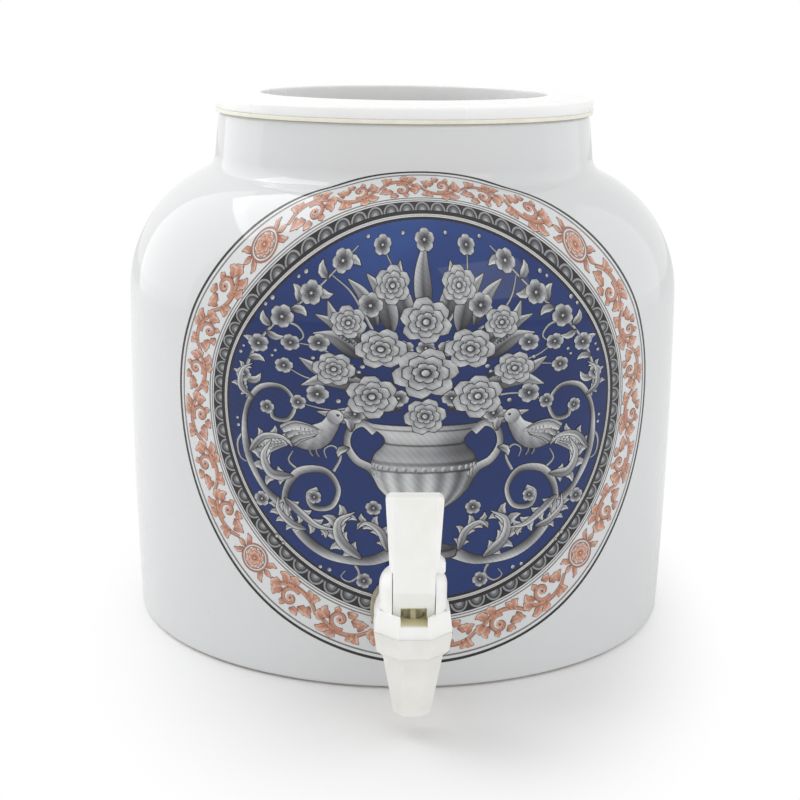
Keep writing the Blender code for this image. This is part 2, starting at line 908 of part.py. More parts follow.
def make_seat_cup():
    cone_run = chamber_radius - outlet_radius - outlet_draft
    cone_length = math.hypot(cone_run, seat_cone_rise)
    cone_lift = seat_gap * cone_length / cone_run  # keeps the seat gap square to the cone
    cone_slope = seat_cone_rise / cone_run

    def cone_height(radius):
        return seat_bottom + cone_lift + (radius - outlet_radius - outlet_draft) * cone_slope

    nose_radius = outlet_radius - seat_gap
    hole_radius = button_radius + seat_gap
    rim_radius_out = socket_radius - seat_gap
    profile = [
        (0, foot_base - button_depth - seat_gap),
        (hole_radius, foot_base - button_depth - seat_gap),
        (hole_radius, cup_floor_top),
        (cup_radius - cup_wall, cup_floor_top),
        (cup_radius - cup_wall, cup_top),
        (rim_radius_out, cup_top),
        (rim_radius_out, cup_top - cup_rim_thickness),
        (cup_radius, cup_top - cup_rim_thickness),
        (cup_radius, cone_height(cup_radius)),
        (nose_radius, cone_height(nose_radius)),
        (nose_radius, cone_height(nose_radius) - cup_nose_depth),
        (0, cone_height(nose_radius) - cup_nose_depth),
    ]
    turned("seat_cup", profile, small_steps, silicone, spout_place)


def make_valve_spring():
    low = foot_top + seat_gap + spring_wire_radius
    high = tray_underside - seat_gap - spring_wire_radius
    radius = (spring_pocket_radius - running_gap + stem_hole_radius) / 2
    points_per_turn = 10
    count = spring_turns * points_per_turn
    curve = bpy.data.curves.new("valve_spring", "CURVE")
    curve.dimensions = "3D"
    curve.bevel_depth = spring_wire_radius
    curve.bevel_resolution = 1
    curve.use_fill_caps = True
    spline = curve.splines.new("POLY")
    spline.points.add(count)
    places = []
    for index in range(count + 1):
        angle = 2 * math.pi * index / points_per_turn
        height = low + (high - low) * index / count
        places.append((radius * math.cos(angle), radius * math.sin(angle), height))
        spline.points[index].co = (*places[-1], 1)
    nearest = min(
        math.dist(places[i], places[j])
        for i in range(count + 1)
        for j in range(i + points_per_turn // 2, count + 1)
    )
    print(f"least gap between spring turns: {(nearest - 2 * spring_wire_radius) / mm:.2f} mm")
    place(bpy.data.objects.new("valve_spring", curve), steel, spout_place)


make_crock()
make_support_ring()
make_ring_gasket()
make_outer_washer()
make_inner_washer()
make_lock_nut()
make_tap_body()
make_bonnet()
make_lever()
make_hinge_pin()
make_stem()
make_seat_cup()
make_valve_spring()
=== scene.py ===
# A porcelain water crock with a printed medallion, a plastic bottle ring and a lever tap
import math

import bmesh
import bpy
import numpy as np
from mathutils import Matrix, Vector


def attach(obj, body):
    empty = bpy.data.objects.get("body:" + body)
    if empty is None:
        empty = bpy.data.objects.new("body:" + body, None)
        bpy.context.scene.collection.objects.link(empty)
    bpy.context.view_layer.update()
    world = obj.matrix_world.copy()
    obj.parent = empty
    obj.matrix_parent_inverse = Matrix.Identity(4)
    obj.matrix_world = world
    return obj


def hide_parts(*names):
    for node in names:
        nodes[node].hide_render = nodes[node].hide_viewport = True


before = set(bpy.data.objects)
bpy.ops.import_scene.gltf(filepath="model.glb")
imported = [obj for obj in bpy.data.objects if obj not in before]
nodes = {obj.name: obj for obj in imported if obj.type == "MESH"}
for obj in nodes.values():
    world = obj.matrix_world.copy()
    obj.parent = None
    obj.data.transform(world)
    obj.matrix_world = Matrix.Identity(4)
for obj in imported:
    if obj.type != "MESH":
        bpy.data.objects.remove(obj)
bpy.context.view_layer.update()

mm = 0.001
scene = bpy.context.scene
scene.view_settings.view_transform = "Standard"
print("frame loaded:", ", ".join(sorted(nodes)))

# The eye: 0.8 m in front of the crock, looking down a little through a long lens
cameraView = {
    "turn": -1.8,
    "aside": -0.0006,
    "back": 0.800,
    "height": 0.2924,
    "lookDown": 13.59,
    "roll": 0.6,
    "lens": 73.89,
}


def makeCamera(view):
    eye = bpy.data.cameras.new("camera")
    eye.lens = view["lens"]
    eye.sensor_width = 36.0
    holder = bpy.data.objects.new("camera", eye)
    scene.collection.objects.link(holder)
    place = Matrix.Rotation(math.radians(view["turn"]), 4, "Z")
    place @= Matrix.Translation((view["aside"], -view["back"], view["height"]))
    aim = Matrix.Rotation(math.radians(90 - view["lookDown"]), 4, "X")
    aim @= Matrix.Rotation(math.radians(view["roll"]), 4, "Z")
    holder.matrix_world = place @ aim
    scene.camera = holder


makeCamera(cameraView)


def hexColor(code):
    # sRGB, as a colour picker shows it, to the linear values that a shader takes
    values = []
    for start in (1, 3, 5):
        part = int(code[start:start + 2], 16) / 255
        values.append(part / 12.92 if part <= 0.04045 else ((part + 0.055) / 1.055) ** 2.4)
    return (*values, 1.0)


def addNode(tree, kind, settings=None, links=None):
    node = tree.nodes.new(kind)
    for key, value in (settings or {}).items():
        if isinstance(key, str) and hasattr(node, key):
            setattr(node, key, value)
        else:
            node.inputs[key].default_value = value
    for key, source in (links or {}).items():
        tree.links.new(source, node.inputs[key])
    return node


def newMaterial(name, sockets):
    made = bpy.data.materials.new(name)
    made.use_nodes = True
    tree = made.node_tree
    shader = tree.nodes["Principled BSDF"]
    for key, value in sockets.items():
        shader.inputs[key].default_value = value
    where = addNode(tree, "ShaderNodeTexCoord").outputs["Object"]
    return made, tree, shader, where


def colorRamp(tree, factor, stops):
    ramp = addNode(tree, "ShaderNodeValToRGB", links={"Fac": factor})
    while len(ramp.color_ramp.elements) < len(stops):
        ramp.color_ramp.elements.new(0.5)
    for element, (place, code) in zip(ramp.color_ramp.elements, stops):
        element.position = place
        element.color = hexColor(code)
    return ramp.outputs["Color"]


# Porcelain, slip cast and glazed: a cool white body under a clear, wet-looking coat that is
# never quite flat, with a few iron specks
glaze = {
    "name": "glazed porcelain",
    "body": "#DADBDC",
    "thin": "#D9DADB",
    "speck": "#8E8880",
    "peel": 5.0 * mm,
    "sag": 38.0 * mm,
    "speckCell": 17.0 * mm,
    "speckSize": 0.22 * mm,
}
# Only the glaze mirrors, so the body under it has no specular part of its own
glazeSockets = {
    "Roughness": 0.42,
    "IOR": 1.5,
    "Specular IOR Level": 0.0,
    "Coat Weight": 1.0,
    "Coat Roughness": 0.055,
    "Coat IOR": 1.5,
}


def glazeWaves(tree, shader, look, where):
    # The waves that a flowing glaze leaves: long sags, and a faint orange peel on them
    sag = addNode(
        tree, "ShaderNodeTexNoise", {"Scale": 1 / look["sag"], "Detail": 2.0}, {"Vector": where}
    )
    peel = addNode(
        tree, "ShaderNodeTexNoise", {"Scale": 1 / look["peel"], "Detail": 3.0}, {"Vector": where}
    )
    slow = addNode(
        tree, "ShaderNodeBump", {"Strength": 0.25, "Distance": 0.4 * mm}, {"Height": sag.outputs["Fac"]}
    )
    fine = addNode(
        tree,
        "ShaderNodeBump",
        {"Strength": 0.10, "Distance": 0.05 * mm},
        {"Height": peel.outputs["Fac"], "Normal": slow.outputs["Normal"]},
    )
    tree.links.new(fine.outputs["Normal"], shader.inputs["Coat Normal"])
    return sag.outputs["Fac"]


def makeGlaze(look):
    made, tree, shader, where = newMaterial(look["name"], glazeSockets)
    sag = glazeWaves(tree, shader, look, where)
    tint = colorRamp(tree, sag, [(0.3, look["thin"]), (0.62, look["body"])])
    cells = addNode(tree, "ShaderNodeTexVoronoi", {"Scale": 1 / look["speckCell"]}, {"Vector": where})
    size = addNode(
        tree,
        "ShaderNodeMath",
        {"operation": "MULTIPLY", 1: 2 * look["speckSize"] / look["speckCell"]},
        {0: cells.outputs["Color"]},
    )
    spot = addNode(
        tree,
        "ShaderNodeMath",
        {"operation": "LESS_THAN"},
        {0: cells.outputs["Distance"], 1: size.outputs[0]},
    )
    mix = addNode(
        tree,
        "ShaderNodeMix",
        {"data_type": "RGBA", 7: hexColor(look["speck"])},
        {0: spot.outputs[0], 6: tint},
    )
    tree.links.new(mix.outputs[2], shader.inputs["Base Color"])
    return made


# The other materials share one build: a slow noise shifts the tone, and for some the
# roughness too, and a fine one roughens the surface
def makeSurface(look, retint=None):
    made, tree, shader, where = newMaterial(look["name"], look["sockets"])
    if "stretch" in look:
        along = addNode(tree, "ShaderNodeMapping", {"Scale": look["stretch"]}, {"Vector": where})
        where = along.outputs["Vector"]
    size, settings = look["patch"]
    slow = addNode(
        tree, "ShaderNodeTexNoise", {"Scale": 1 / size, **settings}, {"Vector": where}
    ).outputs["Fac"]
    tint = colorRamp(tree, slow, look["tones"])
    if retint:
        tint = retint(tree, where, tint)
    tree.links.new(tint, shader.inputs["Base Color"])
    if "rub" in look:
        low, high = look["rub"]
        rub = addNode(
            tree,
            "ShaderNodeMapRange",
            {"From Min": 0.3, "From Max": 0.7, "To Min": low, "To Max": high},
            {"Value": slow},
        )
        tree.links.new(rub.outputs["Result"], shader.inputs["Roughness"])
    if "grain" in look:
        size, detail, strength, depth = look["grain"]
        fine = addNode(
            tree, "ShaderNodeTexNoise", {"Scale": 1 / size, "Detail": detail}, {"Vector": where}
        )
        bump = addNode(
            tree,
            "ShaderNodeBump",
            {"Strength": strength, "Distance": depth},
            {"Height": fine.outputs["Fac"]},
        )
        tree.links.new(bump.outputs["Normal"], shader.inputs["Normal"])
    return made


# Bare porcelain where the crock stood in the kiln: dry, matt and a little warmer
biscuit = {
    "name": "unglazed porcelain foot",
    "sockets": {"Roughness": 0.82, "IOR": 1.5},
    "patch": (1.2 * mm, {"Detail": 4.0}),
    "tones": ((0.35, "#CFC8BC"), (0.65, "#DED9CF")),
    "grain": (1.2 * mm, 4.0, 0.4, 0.1 * mm),
}


# Injection-moulded plastics: a spark-eroded tool leaves a fine grain, and slow flow marks
# shift the tone a little from one end of a moulding to the other
def moulded(name, pale, deep, flow, rub, grain, ior, softness, depth):
    return {
        "name": name,
        "sockets": {
            "IOR": ior,
            "Subsurface Weight": softness,
            "Subsurface Radius": (1.0, 0.9, 0.75),
            "Subsurface Scale": depth,
        },
        "patch": (flow, {"Detail": 3.0, "Distortion": 0.6}),
        "tones": ((0.3, deep), (0.6, pale)),
        "rub": rub,
        "grain": (grain[0], 2.0, 0.6, grain[1]),
    }


tapPlastic = moulded(
    "white ABS, moulded", "#FBFBF8", "#F6F5EF", flow=14.0 * mm, rub=(0.30, 0.40),
    grain=(0.45 * mm, 0.012 * mm), ior=1.54, softness=0.3, depth=2.5 * mm,
)
# Painted shade: the spout is the lever's white ABS made a little greyer, standing in for the shade on its
# flats
spoutPaintedShadePlastic = {
    **tapPlastic, "name": "off-white ABS, moulded", "tones": ((0.3, "#E8E7E1"), (0.6, "#EFEEEA")),
}
ringPlastic = moulded(
    "white polypropylene, moulded", "#F5F6F5", "#F1F2F0", flow=40.0 * mm, rub=(0.22, 0.32),
    grain=(0.6 * mm, 0.010 * mm), ior=1.49, softness=0.25, depth=3.0 * mm,
)
stemPlastic = moulded(
    "natural nylon, moulded", "#E9E4C6", "#D9D3B0", flow=6.0 * mm, rub=(0.34, 0.46),
    grain=(0.4 * mm, 0.010 * mm), ior=1.53, softness=0.4, depth=2.0 * mm,
)


# Moulded rubbers: dry and soft, dusted with a bloom that pales them in patches
def rubber(name, pale, deep, roughness, patch, clear=0.0):
    return {
        "name": name,
        "sockets": {
            "Roughness": roughness,
            "IOR": 1.5,
            "Transmission Weight": clear,
            "Sheen Weight": 0.08,
        },
        "patch": (patch, {"Detail": 5.0, "Roughness": 0.6}),
        "tones": ((0.35, deep), (0.65, pale)),
        "grain": (0.5 * mm, 2.0, 0.5, 0.02 * mm),
    }


creamRubber = rubber("cream thermoplastic rubber", "#F4F2E6", "#ECE9DA", 0.62, 7.0 * mm)
tanRubber = rubber("tan nitrile rubber", "#B7AE9E", "#978E7D", 0.72, 4.0 * mm)
siliconeRubber = rubber("cloudy silicone rubber", "#E4E7E3", "#D3D8D3", 0.38, 5.0 * mm, 0.35)

# Drawn stainless steel: bright, with fine draw lines round the wire
drawnSteel = {
    "name": "drawn stainless steel",
    "sockets": {"Metallic": 1.0},
    "stretch": (0.15, 1.0, 1.0),
    "patch": (0.25 * mm, {"Detail": 3.0}),
    "tones": ((0.3, "#B5B5B8"), (0.7, "#D2D2D4")),
    "rub": (0.18, 0.34),
}

# Painted shade: inside the tray under the lever the plastic is tinted cream, standing in for the dim,
# warm light in that recess
tray = {
    "axis": -174.495 * mm,
    "half": 13.15 * mm,
    "low": 46.0 * mm,
    "high": 54.0 * mm,
    "tint": "#F5EDC4",
}


def paintShadeInTray(tree, where, tint):
    # How far out a point is, as a share of the way to the tray's eight sides and its two levels
    middle = addNode(
        tree,
        "ShaderNodeVectorMath",
        {"operation": "SUBTRACT", 1: (0, tray["axis"], (tray["low"] + tray["high"]) / 2)},
        {0: where},
    )
    away = addNode(tree, "ShaderNodeVectorMath", {"operation": "ABSOLUTE"}, {0: middle.outputs[0]})
    size = (tray["half"], tray["half"], (tray["high"] - tray["low"]) / 2)
    reach = addNode(tree, "ShaderNodeVectorMath", {"operation": "DIVIDE", 1: size}, {0: away.outputs[0]})
    split = addNode(tree, "ShaderNodeSeparateXYZ", links={0: reach.outputs[0]})
    slant = addNode(
        tree,
        "ShaderNodeVectorMath",
        {"operation": "DOT_PRODUCT", 1: (math.sqrt(0.5), math.sqrt(0.5), 0)},
        {0: reach.outputs[0]},
    )
    most = slant.outputs["Value"]
    for side in split.outputs:
        larger = addNode(tree, "ShaderNodeMath", {"operation": "MAXIMUM"}, {0: most, 1: side})
        most = larger.outputs[0]
    inside = addNode(
        tree,
        "ShaderNodeMapRange",
        {"From Min": 0.95, "From Max": 1.0, "To Min": 1.0, "To Max": 0.0},
        {"Value": most},
    )
    # Inside the tray the plastic takes the cream of painted shade
    mix = addNode(
        tree,
        "ShaderNodeMix",
        {"data_type": "RGBA", 7: hexColor(tray["tint"])},
        {0: inside.outputs["Result"], 6: tint},
    )
    return mix.outputs[2]


glazedPorcelain = makeGlaze(glaze)
# Painted light: inside, the crock's glaze is made much whiter than outside, standing in for light in the
# hollow
paintedLightInside = {**glaze, "name": "white lining glaze", "body": "#F5F6F5", "thin": "#F1F2F1"}
paintedLightInsideGlaze = makeGlaze(paintedLightInside)
bareFoot = makeSurface(biscuit)
whitePlastic = makeSurface(tapPlastic)
bodyPaintedShadePlastic = makeSurface(spoutPaintedShadePlastic)
# The tap's cap, with painted shade in its tray
trayPaintedShadePlastic = makeSurface({**tapPlastic, "name": "white ABS, water marked"}, paintShadeInTray)
paleRing = makeSurface(ringPlastic)
nylon = makeSurface(stemPlastic)
gasketRubber = makeSurface(creamRubber)
washerRubber = makeSurface(tanRubber)
silicone = makeSurface(siliconeRubber)
steel = makeSurface(drawnSteel)
print("materials made")


def addPiece(name, mesh, body, replaced=()):
    piece = bpy.data.objects.new(name, mesh)
    scene.collection.objects.link(piece)
    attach(piece, body)
    if replaced:
        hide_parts(*replaced)


def arcPoints(center, radius, start, end, count):
    points = []
    for step in range(count + 1):
        angle = math.radians(start + (end - start) * step / count)
        points.append((center[0] + radius * math.cos(angle), center[1] + radius * math.sin(angle)))
    return points


def roundCorners(corners, count=5):
    # Corners are (radius, height, rounding); each one becomes an arc that meets its two sides
    points = []
    for index, (across, up, rounding) in enumerate(corners):
        here = Vector((across, up))
        if rounding == 0:
            points.append((across, up))
            continue
        back = Vector(corners[index - 1][:2]) - here
        ahead = Vector(corners[(index + 1) % len(corners)][:2]) - here
        half = back.angle(ahead) / 2
        trim = min(rounding / math.tan(half), back.length * 0.49, ahead.length * 0.49)
        radius = trim * math.tan(half)
        start, end = here + back.normalized() * trim, here + ahead.normalized() * trim
        middle = here + (back.normalized() + ahead.normalized()).normalized() * (radius / math.sin(half))
        first = start - middle
        swing = first.angle_signed(end - middle)
        for step in range(count + 1):
            turn = Matrix.Rotation(-swing * step / count, 2)
            points.append(tuple(middle + turn @ first))
    return points


def endTree(tree, geometry, material):
    # Every tree ends in real geometry in its own material
    real = addNode(tree, "GeometryNodeRealizeInstances", links={0: geometry})
    links = {"Geometry": real.outputs[0], "Material": material}
    done = addNode(tree, "GeometryNodeSetMaterial", links=links)
    addNode(tree, "NodeGroupOutput", links={0: done.outputs[0]})


def turningTree():
    # A profile curve, X out from the axis and Y down, turned once round Z
    tree = bpy.data.node_groups.new("turned on a wheel", "GeometryNodeTree")
    tree.interface.new_socket("Profile", in_out="INPUT", socket_type="NodeSocketGeometry")
    steps = tree.interface.new_socket("Steps", in_out="INPUT", socket_type="NodeSocketInt")
    finish = tree.interface.new_socket("Finish", in_out="INPUT", socket_type="NodeSocketMaterial")
    tree.interface.new_socket("Geometry", in_out="OUTPUT", socket_type="NodeSocketGeometry")
    given = addNode(tree, "NodeGroupInput")
    path = addNode(
        tree, "GeometryNodeCurvePrimitiveCircle", {"Radius": 1.0}, {"Resolution": given.outputs["Steps"]}
    )
    swept = addNode(
        tree,
        "GeometryNodeCurveToMesh",
        links={"Curve": path.outputs["Curve"], "Profile Curve": given.outputs["Profile"]},
    )
    merged = addNode(
        tree, "GeometryNodeMergeByDistance", {"Distance": 0.002 * mm}, {"Geometry": swept.outputs[0]}
    )
    endTree(tree, merged.outputs[0], given.outputs["Finish"])
    return tree, steps.identifier, finish.identifier


turning, turningSteps, turningFinish = turningTree()


def plainMesh(thing, name):
    bpy.context.view_layer.update()
    graph = bpy.context.evaluated_depsgraph_get()
    mesh = bpy.data.meshes.new_from_object(thing.evaluated_get(graph))
    mesh.name = name
    bpy.data.objects.remove(thing)
    return mesh


def smoothFaces(mesh):
    mesh.shade_smooth()
    mesh.set_sharp_from_angle(angle=math.radians(35))


def turnedMesh(name, profile, steps, finish, closed=True):
    # The profile is in mm; the wheel's path is a circle of 1 m, so radii are taken from there
    curve = bpy.data.curves.new(name, "CURVE")
    curve.dimensions = "3D"
    line = curve.splines.new("POLY")
    line.points.add(len(profile) - 1)
    for point, (across, up) in zip(line.points, profile):
        point.co = (across * mm - 1.0, -up * mm, 0, 1)
    line.use_cyclic_u = closed
    guide = bpy.data.objects.new(name, curve)
    scene.collection.objects.link(guide)
    wheel = guide.modifiers.new("wheel", "NODES")
    wheel.node_group = turning
    wheel[turningSteps] = steps
    wheel[turningFinish] = finish
    mesh = plainMesh(guide, name)
    shape = bmesh.new()
    shape.from_mesh(mesh)
    bmesh.ops.remove_doubles(shape, verts=shape.verts, dist=0.002 * mm)
    bmesh.ops.recalc_face_normals(shape, faces=shape.faces)
    shape.to_mesh(mesh)
    shape.free()
    smoothFaces(mesh)
    return mesh


crockSize = {
    "belly": 132.8,
    "bellyHeight": 112.0,
    "drawIn": 2.6,
    "shoulderHeight": 159.0,
    "shoulderRound": 62.0,
    "neck": 90.6,
    "neckDrawIn": 1.9,
    "neckFillet": 9.0,
    "neckLength": 19.5,
    "wall": 7.0,
    "floor": 8.0,
    "innerCorner": 18.0,
    "rimRound": 2.2,
    "footRound": 1.6,
    "footHeight": 0.8,
    "footInset": 2.4,
    "tapHole": 9.4,
    "tapHeight": 39.0,
    "drillAt": 128.0,
    "drillDepth": 40.0,
    "hollow": 90.0,
    "steps": 288,
}


def sideRadius(height):
    bow = (height - crockSize["bellyHeight"]) / crockSize["bellyHeight"]
    return crockSize["belly"] - crockSize["drawIn"] * bow**2


slope = math.atan(
    2
    * crockSize["drawIn"]
    * (crockSize["shoulderHeight"] - crockSize["bellyHeight"])
    / crockSize["bellyHeight"] ** 2
)
shoulderCenter = (
    sideRadius(crockSize["shoulderHeight"]) - crockSize["shoulderRound"] * math.cos(slope),
    crockSize["shoulderHeight"] - crockSize["shoulderRound"] * math.sin(slope),
)
filletAcross = crockSize["neck"] + crockSize["neckFillet"] - shoulderCenter[0]
filletUp = math.sqrt((crockSize["shoulderRound"] + crockSize["neckFillet"]) ** 2 - filletAcross**2)
filletCenter = (crockSize["neck"] + crockSize["neckFillet"], shoulderCenter[1] + filletUp)
shoulderEnd = math.degrees(math.atan2(filletUp, filletAcross))
rimHeight = filletCenter[1] + crockSize["neckLength"]


def neckRadius(height):
    return crockSize["neck"] - crockSize["neckDrawIn"] * (
        (height - filletCenter[1]) / crockSize["neckLength"]
    )


def crockSide(inset, low, count):
    # From the neck's foot down to a height, drawn in by the inset
    points = arcPoints(filletCenter, crockSize["neckFillet"] + inset, 180, 180 + shoulderEnd, count // 3)
    points += arcPoints(
        shoulderCenter,
        crockSize["shoulderRound"] - inset,
        shoulderEnd,
        math.degrees(slope),
        count,
    )[1:]
    top = crockSize["shoulderHeight"]
    for height in np.linspace(top, low, count + 1)[1:]:
        points.append((sideRadius(height) - inset, float(height)))
    return points


def crockProfile():
    size = crockSize
    innerLow = size["floor"] + size["innerCorner"]
    inner = crockSide(size["wall"], innerLow, 24)
    inner.reverse()
    corner = (sideRadius(innerLow) - size["wall"] - size["innerCorner"], innerLow)
    profile = [(0.0, size["floor"])]
    profile += arcPoints(corner, size["innerCorner"], -90, 0, 12)[:-1] + inner
    rimLow = rimHeight - size["rimRound"]
    for side, start, end in ((size["wall"], 180, 90), (0, 90, 0)):
        edge = neckRadius(rimLow) - side + (size["rimRound"] if side else -size["rimRound"])
        profile += arcPoints((edge, rimLow), size["rimRound"], start, end, 6)
    footTop = size["footHeight"] + size["footRound"]
    profile += crockSide(0, footTop, 42)
    base = sideRadius(footTop)
    profile += arcPoints((base - size["footRound"], footTop), size["footRound"], 0, -90, 6)[1:]
    foot = base - size["footInset"]
    profile += [(foot, size["footHeight"] - 0.1), (foot - 0.4, 0.0), (0.0, 0.0)]
    return profile


def makeCrock():
    mesh = turnedMesh("crock_body", crockProfile(), crockSize["steps"], glazedPorcelain, False)
    drill = bpy.data.meshes.new("drill")
    shape = bmesh.new()
    bmesh.ops.create_cone(
        shape,
        cap_ends=True,
        segments=64,
        radius1=crockSize["tapHole"] * mm,
        radius2=crockSize["tapHole"] * mm,
        depth=crockSize["drillDepth"] * mm,
        matrix=Matrix.Translation((0, -crockSize["drillAt"] * mm, crockSize["tapHeight"] * mm))
        @ Matrix.Rotation(math.pi / 2, 4, "X"),
    )
    shape.to_mesh(drill)
    shape.free()
    drill.materials.append(bareFoot)
    cutter = bpy.data.objects.new("drill", drill)
    blank = bpy.data.objects.new("blank", mesh)
    scene.collection.objects.link(cutter)
    scene.collection.objects.link(blank)
    mesh.materials.append(bareFoot)
    mesh.materials.append(paintedLightInsideGlaze)
    # A face of the foot is bare; one that looks at the middle of the hollow has the whiter glaze of
    # painted light
    middle = Vector((0, 0, crockSize["hollow"] * mm))
    for face in mesh.polygons:
        if face.center.z < (crockSize["footHeight"] + 0.1) * mm:
            face.material_index = 1
        elif face.normal.dot(middle - face.center) > 0:
            face.material_index = 2
    hole = blank.modifiers.new("hole", "BOOLEAN")
    hole.object = cutter
    hole.solver = "EXACT"
    drilled = plainMesh(blank, "crock_body")
    bpy.data.objects.remove(cutter)
    smoothFaces(drilled)
    addPiece("crock_body", drilled, "crock", ("crock",))


makeCrock()
print("crock turned and drilled")

ringSize = {
    "low": 243.89,
    "edge": 90.2,
    "edgeTop": 248.89,
    "edgeRound": 1.4,
    "seat": 71.8,
    "crown": 250.99,
    "opening": 68.8,
    "lip": 2.4,
    "lipLow": 235.99,
    "spigot": 80.8,
    "spigotWall": 2.6,
    "spigotLow": 225.99,
    "plate": 3.2,
    "gasketWide": 7.5,
    "gasketLow": 242.02,
    "gasketHigh": 243.87,
    "gasketRound": 0.35,
    "steps": 256,
}


def makeRing():
    size = ringSize
    inner = size["spigot"] - size["spigotWall"]
    corners = [
        (size["edge"], size["edgeTop"], size["edgeRound"]),
        (size["edge"], size["low"], 0.5),
        (size["spigot"], size["low"], 0.8),
        (size["spigot"], size["spigotLow"], 0.8),
        (inner, size["spigotLow"], 0.8),
        (inner, size["edgeTop"] - size["plate"], 1.0),
        (size["opening"] + size["lip"], size["crown"] - size["plate"], 1.0),
        (size["opening"] + size["lip"], size["lipLow"], 0.7),
        (size["opening"], size["lipLow"], 0.7),
        (size["opening"], size["crown"], 1.1),
        (size["seat"], size["crown"], 4.0),
    ]
    mesh = turnedMesh("bottle_ring", roundCorners(corners), size["steps"], paleRing)
    addPiece("bottle_ring", mesh, "ring", ("support_ring",))
    outer, inner = size["edge"], size["edge"] - size["gasketWide"]
    low, high = size["gasketLow"], size["gasketHigh"]
    corners = [
        (across, up, size["gasketRound"])
        for across, up in ((outer, high), (outer, low), (inner, low), (inner, high))
    ]
    mesh = turnedMesh("rim_gasket", roundCorners(corners), size["steps"], gasketRubber)
    addPiece("rim_gasket", mesh, "ring", ("ring_gasket",))


makeRing()
print("ring and gasket turned")


seating = {"drop": 0.27 * mm, "near": 0.02 * mm}


def softened(node, name, body, finish, edge, seat=None):
    # A copy of a solid with its edges broken as a mould breaks them. A face at the seat's height
    # comes down on the piece below
    shape = bmesh.new()
    shape.from_mesh(nodes[node].data)
    bmesh.ops.remove_doubles(shape, verts=shape.verts, dist=0.004 * mm)
    for vert in shape.verts:
        if seat and abs(vert.co.z - seat * mm) < seating["near"]:
            vert.co.z -= seating["drop"]
    bmesh.ops.dissolve_limit(shape, angle_limit=math.radians(0.6), verts=shape.verts, edges=shape.edges)
    mesh = bpy.data.meshes.new(name)
    shape.to_mesh(mesh)
    shape.free()
    if "custom_normal" in mesh.attributes:
        mesh.attributes.remove(mesh.attributes["custom_normal"])
    mesh.materials.clear()
    mesh.materials.append(finish)
    for face in mesh.polygons:
        face.material_index = 0
    blank = bpy.data.objects.new(name, mesh)
    scene.collection.objects.link(blank)
    bevel = blank.modifiers.new("edges", "BEVEL")
    bevel.width = edge * mm
    bevel.segments = 3
    bevel.limit_method = "ANGLE"
    bevel.angle_limit = math.radians(28)
    bevel.use_clamp_overlap = True
    bevel.miter_outer = "MITER_ARC"
    bevel.harden_normals = False
    weighted = blank.modifiers.new("normals", "WEIGHTED_NORMAL")
    weighted.keep_sharp = True
    mesh.shade_smooth()
    addPiece(name, plainMesh(blank, name), body, (node,))


softened("tap_body", "spout", "crock", bodyPaintedShadePlastic, 0.45)
softened("bonnet", "tap_cap", "crock", trayPaintedShadePlastic, 0.35, seat=47.5)
softened("lever", "tap_lever", "lever", whitePlastic, 0.45)
softened("outer_washer", "outer_seal", "crock", washerRubber, 0.4)
softened("inner_washer", "inner_seal", "crock", washerRubber, 0.4)
softened("lock_nut", "backing_nut", "crock", whitePlastic, 0.4)


def dressNode(name, finish):
    mesh = nodes[name].data
    if mesh.materials:
        mesh.materials[0] = finish
    else:
        mesh.materials.append(finish)


dressNode("stem", nylon)
dressNode("hinge_pin", steel)
dressNode("valve_spring", steel)
dressNode("seat_cup", silicone)
print("tap pieces finished")

# The printed medallion is drawn flat, in mm, as thin films of ink with a tone at every point,
# and then laid on the crock, round its belly and up over its shoulder. Its middle lies a little
# to the right of the tap, at the way up that climb says
printLook = {
    "line": "#2C2A28",
    "grey": "#7E7C7A",
    "silver": "#B4B3B1",
    "night": "#17161C",
    "ground": "#1E1C1B",
    "cobaltLow": "#06225A",
    "cobalt": "#0A2C6C",
    # a paler cobalt: painted light at the top of the field
    "cobaltPaintedLight": "#2A4F92",
    "film": 0.03,
    "motifs": 1.0,
    "turn": 2.5,
    "climb": 124.2,
    "stretch": 1.017,
    # how far above that middle a height in the drawing lies along the crock's side: a polynomial
    # in height / 100, from the highest power down
    "rise": (24.895, 10.76, -89.392, -48.776, 95.681, 64.583, -21.015, -24.263, 87.045, -0.191),
}


def smoothLine(points, spacing=1.6):
    # a Catmull-Rom line through the points, in even steps
    points = np.array(points, dtype=float)
    padded = np.vstack([2 * points[0] - points[1], points, 2 * points[-1] - points[-2]])
    run = []
    for index in range(1, len(padded) - 2):
        a, b, c, d = padded[index - 1:index + 3]
        t = np.linspace(0, 1, 17)[:-1, None]
        run.append(
            0.5 * (2 * b + (c - a) * t + (2 * a - 5 * b + 4 * c - d) * t**2
                   + (3 * b - a - 3 * c + d) * t**3)
        )
    run = np.vstack([*run, points[-1]])
    length = np.concatenate([[0], np.cumsum(np.hypot(*np.diff(run, axis=0).T))])
    count = max(4, int(length[-1] / spacing) + 1)
    even = np.linspace(0, length[-1], count)
    return np.stack([np.interp(even, length, run[:, axis]) for axis in (0, 1)], axis=1)


# The crock's side from near its foot up to its neck: the points, the way run up to each one
# and the direction there
crockLine = np.array(crockSide(0, 1.5, 160)[::-1])
crockRun = np.concatenate([[0], np.cumsum(np.hypot(*np.diff(crockLine, axis=0).T))])
crockLean = np.gradient(crockLine, crockRun, axis=0)


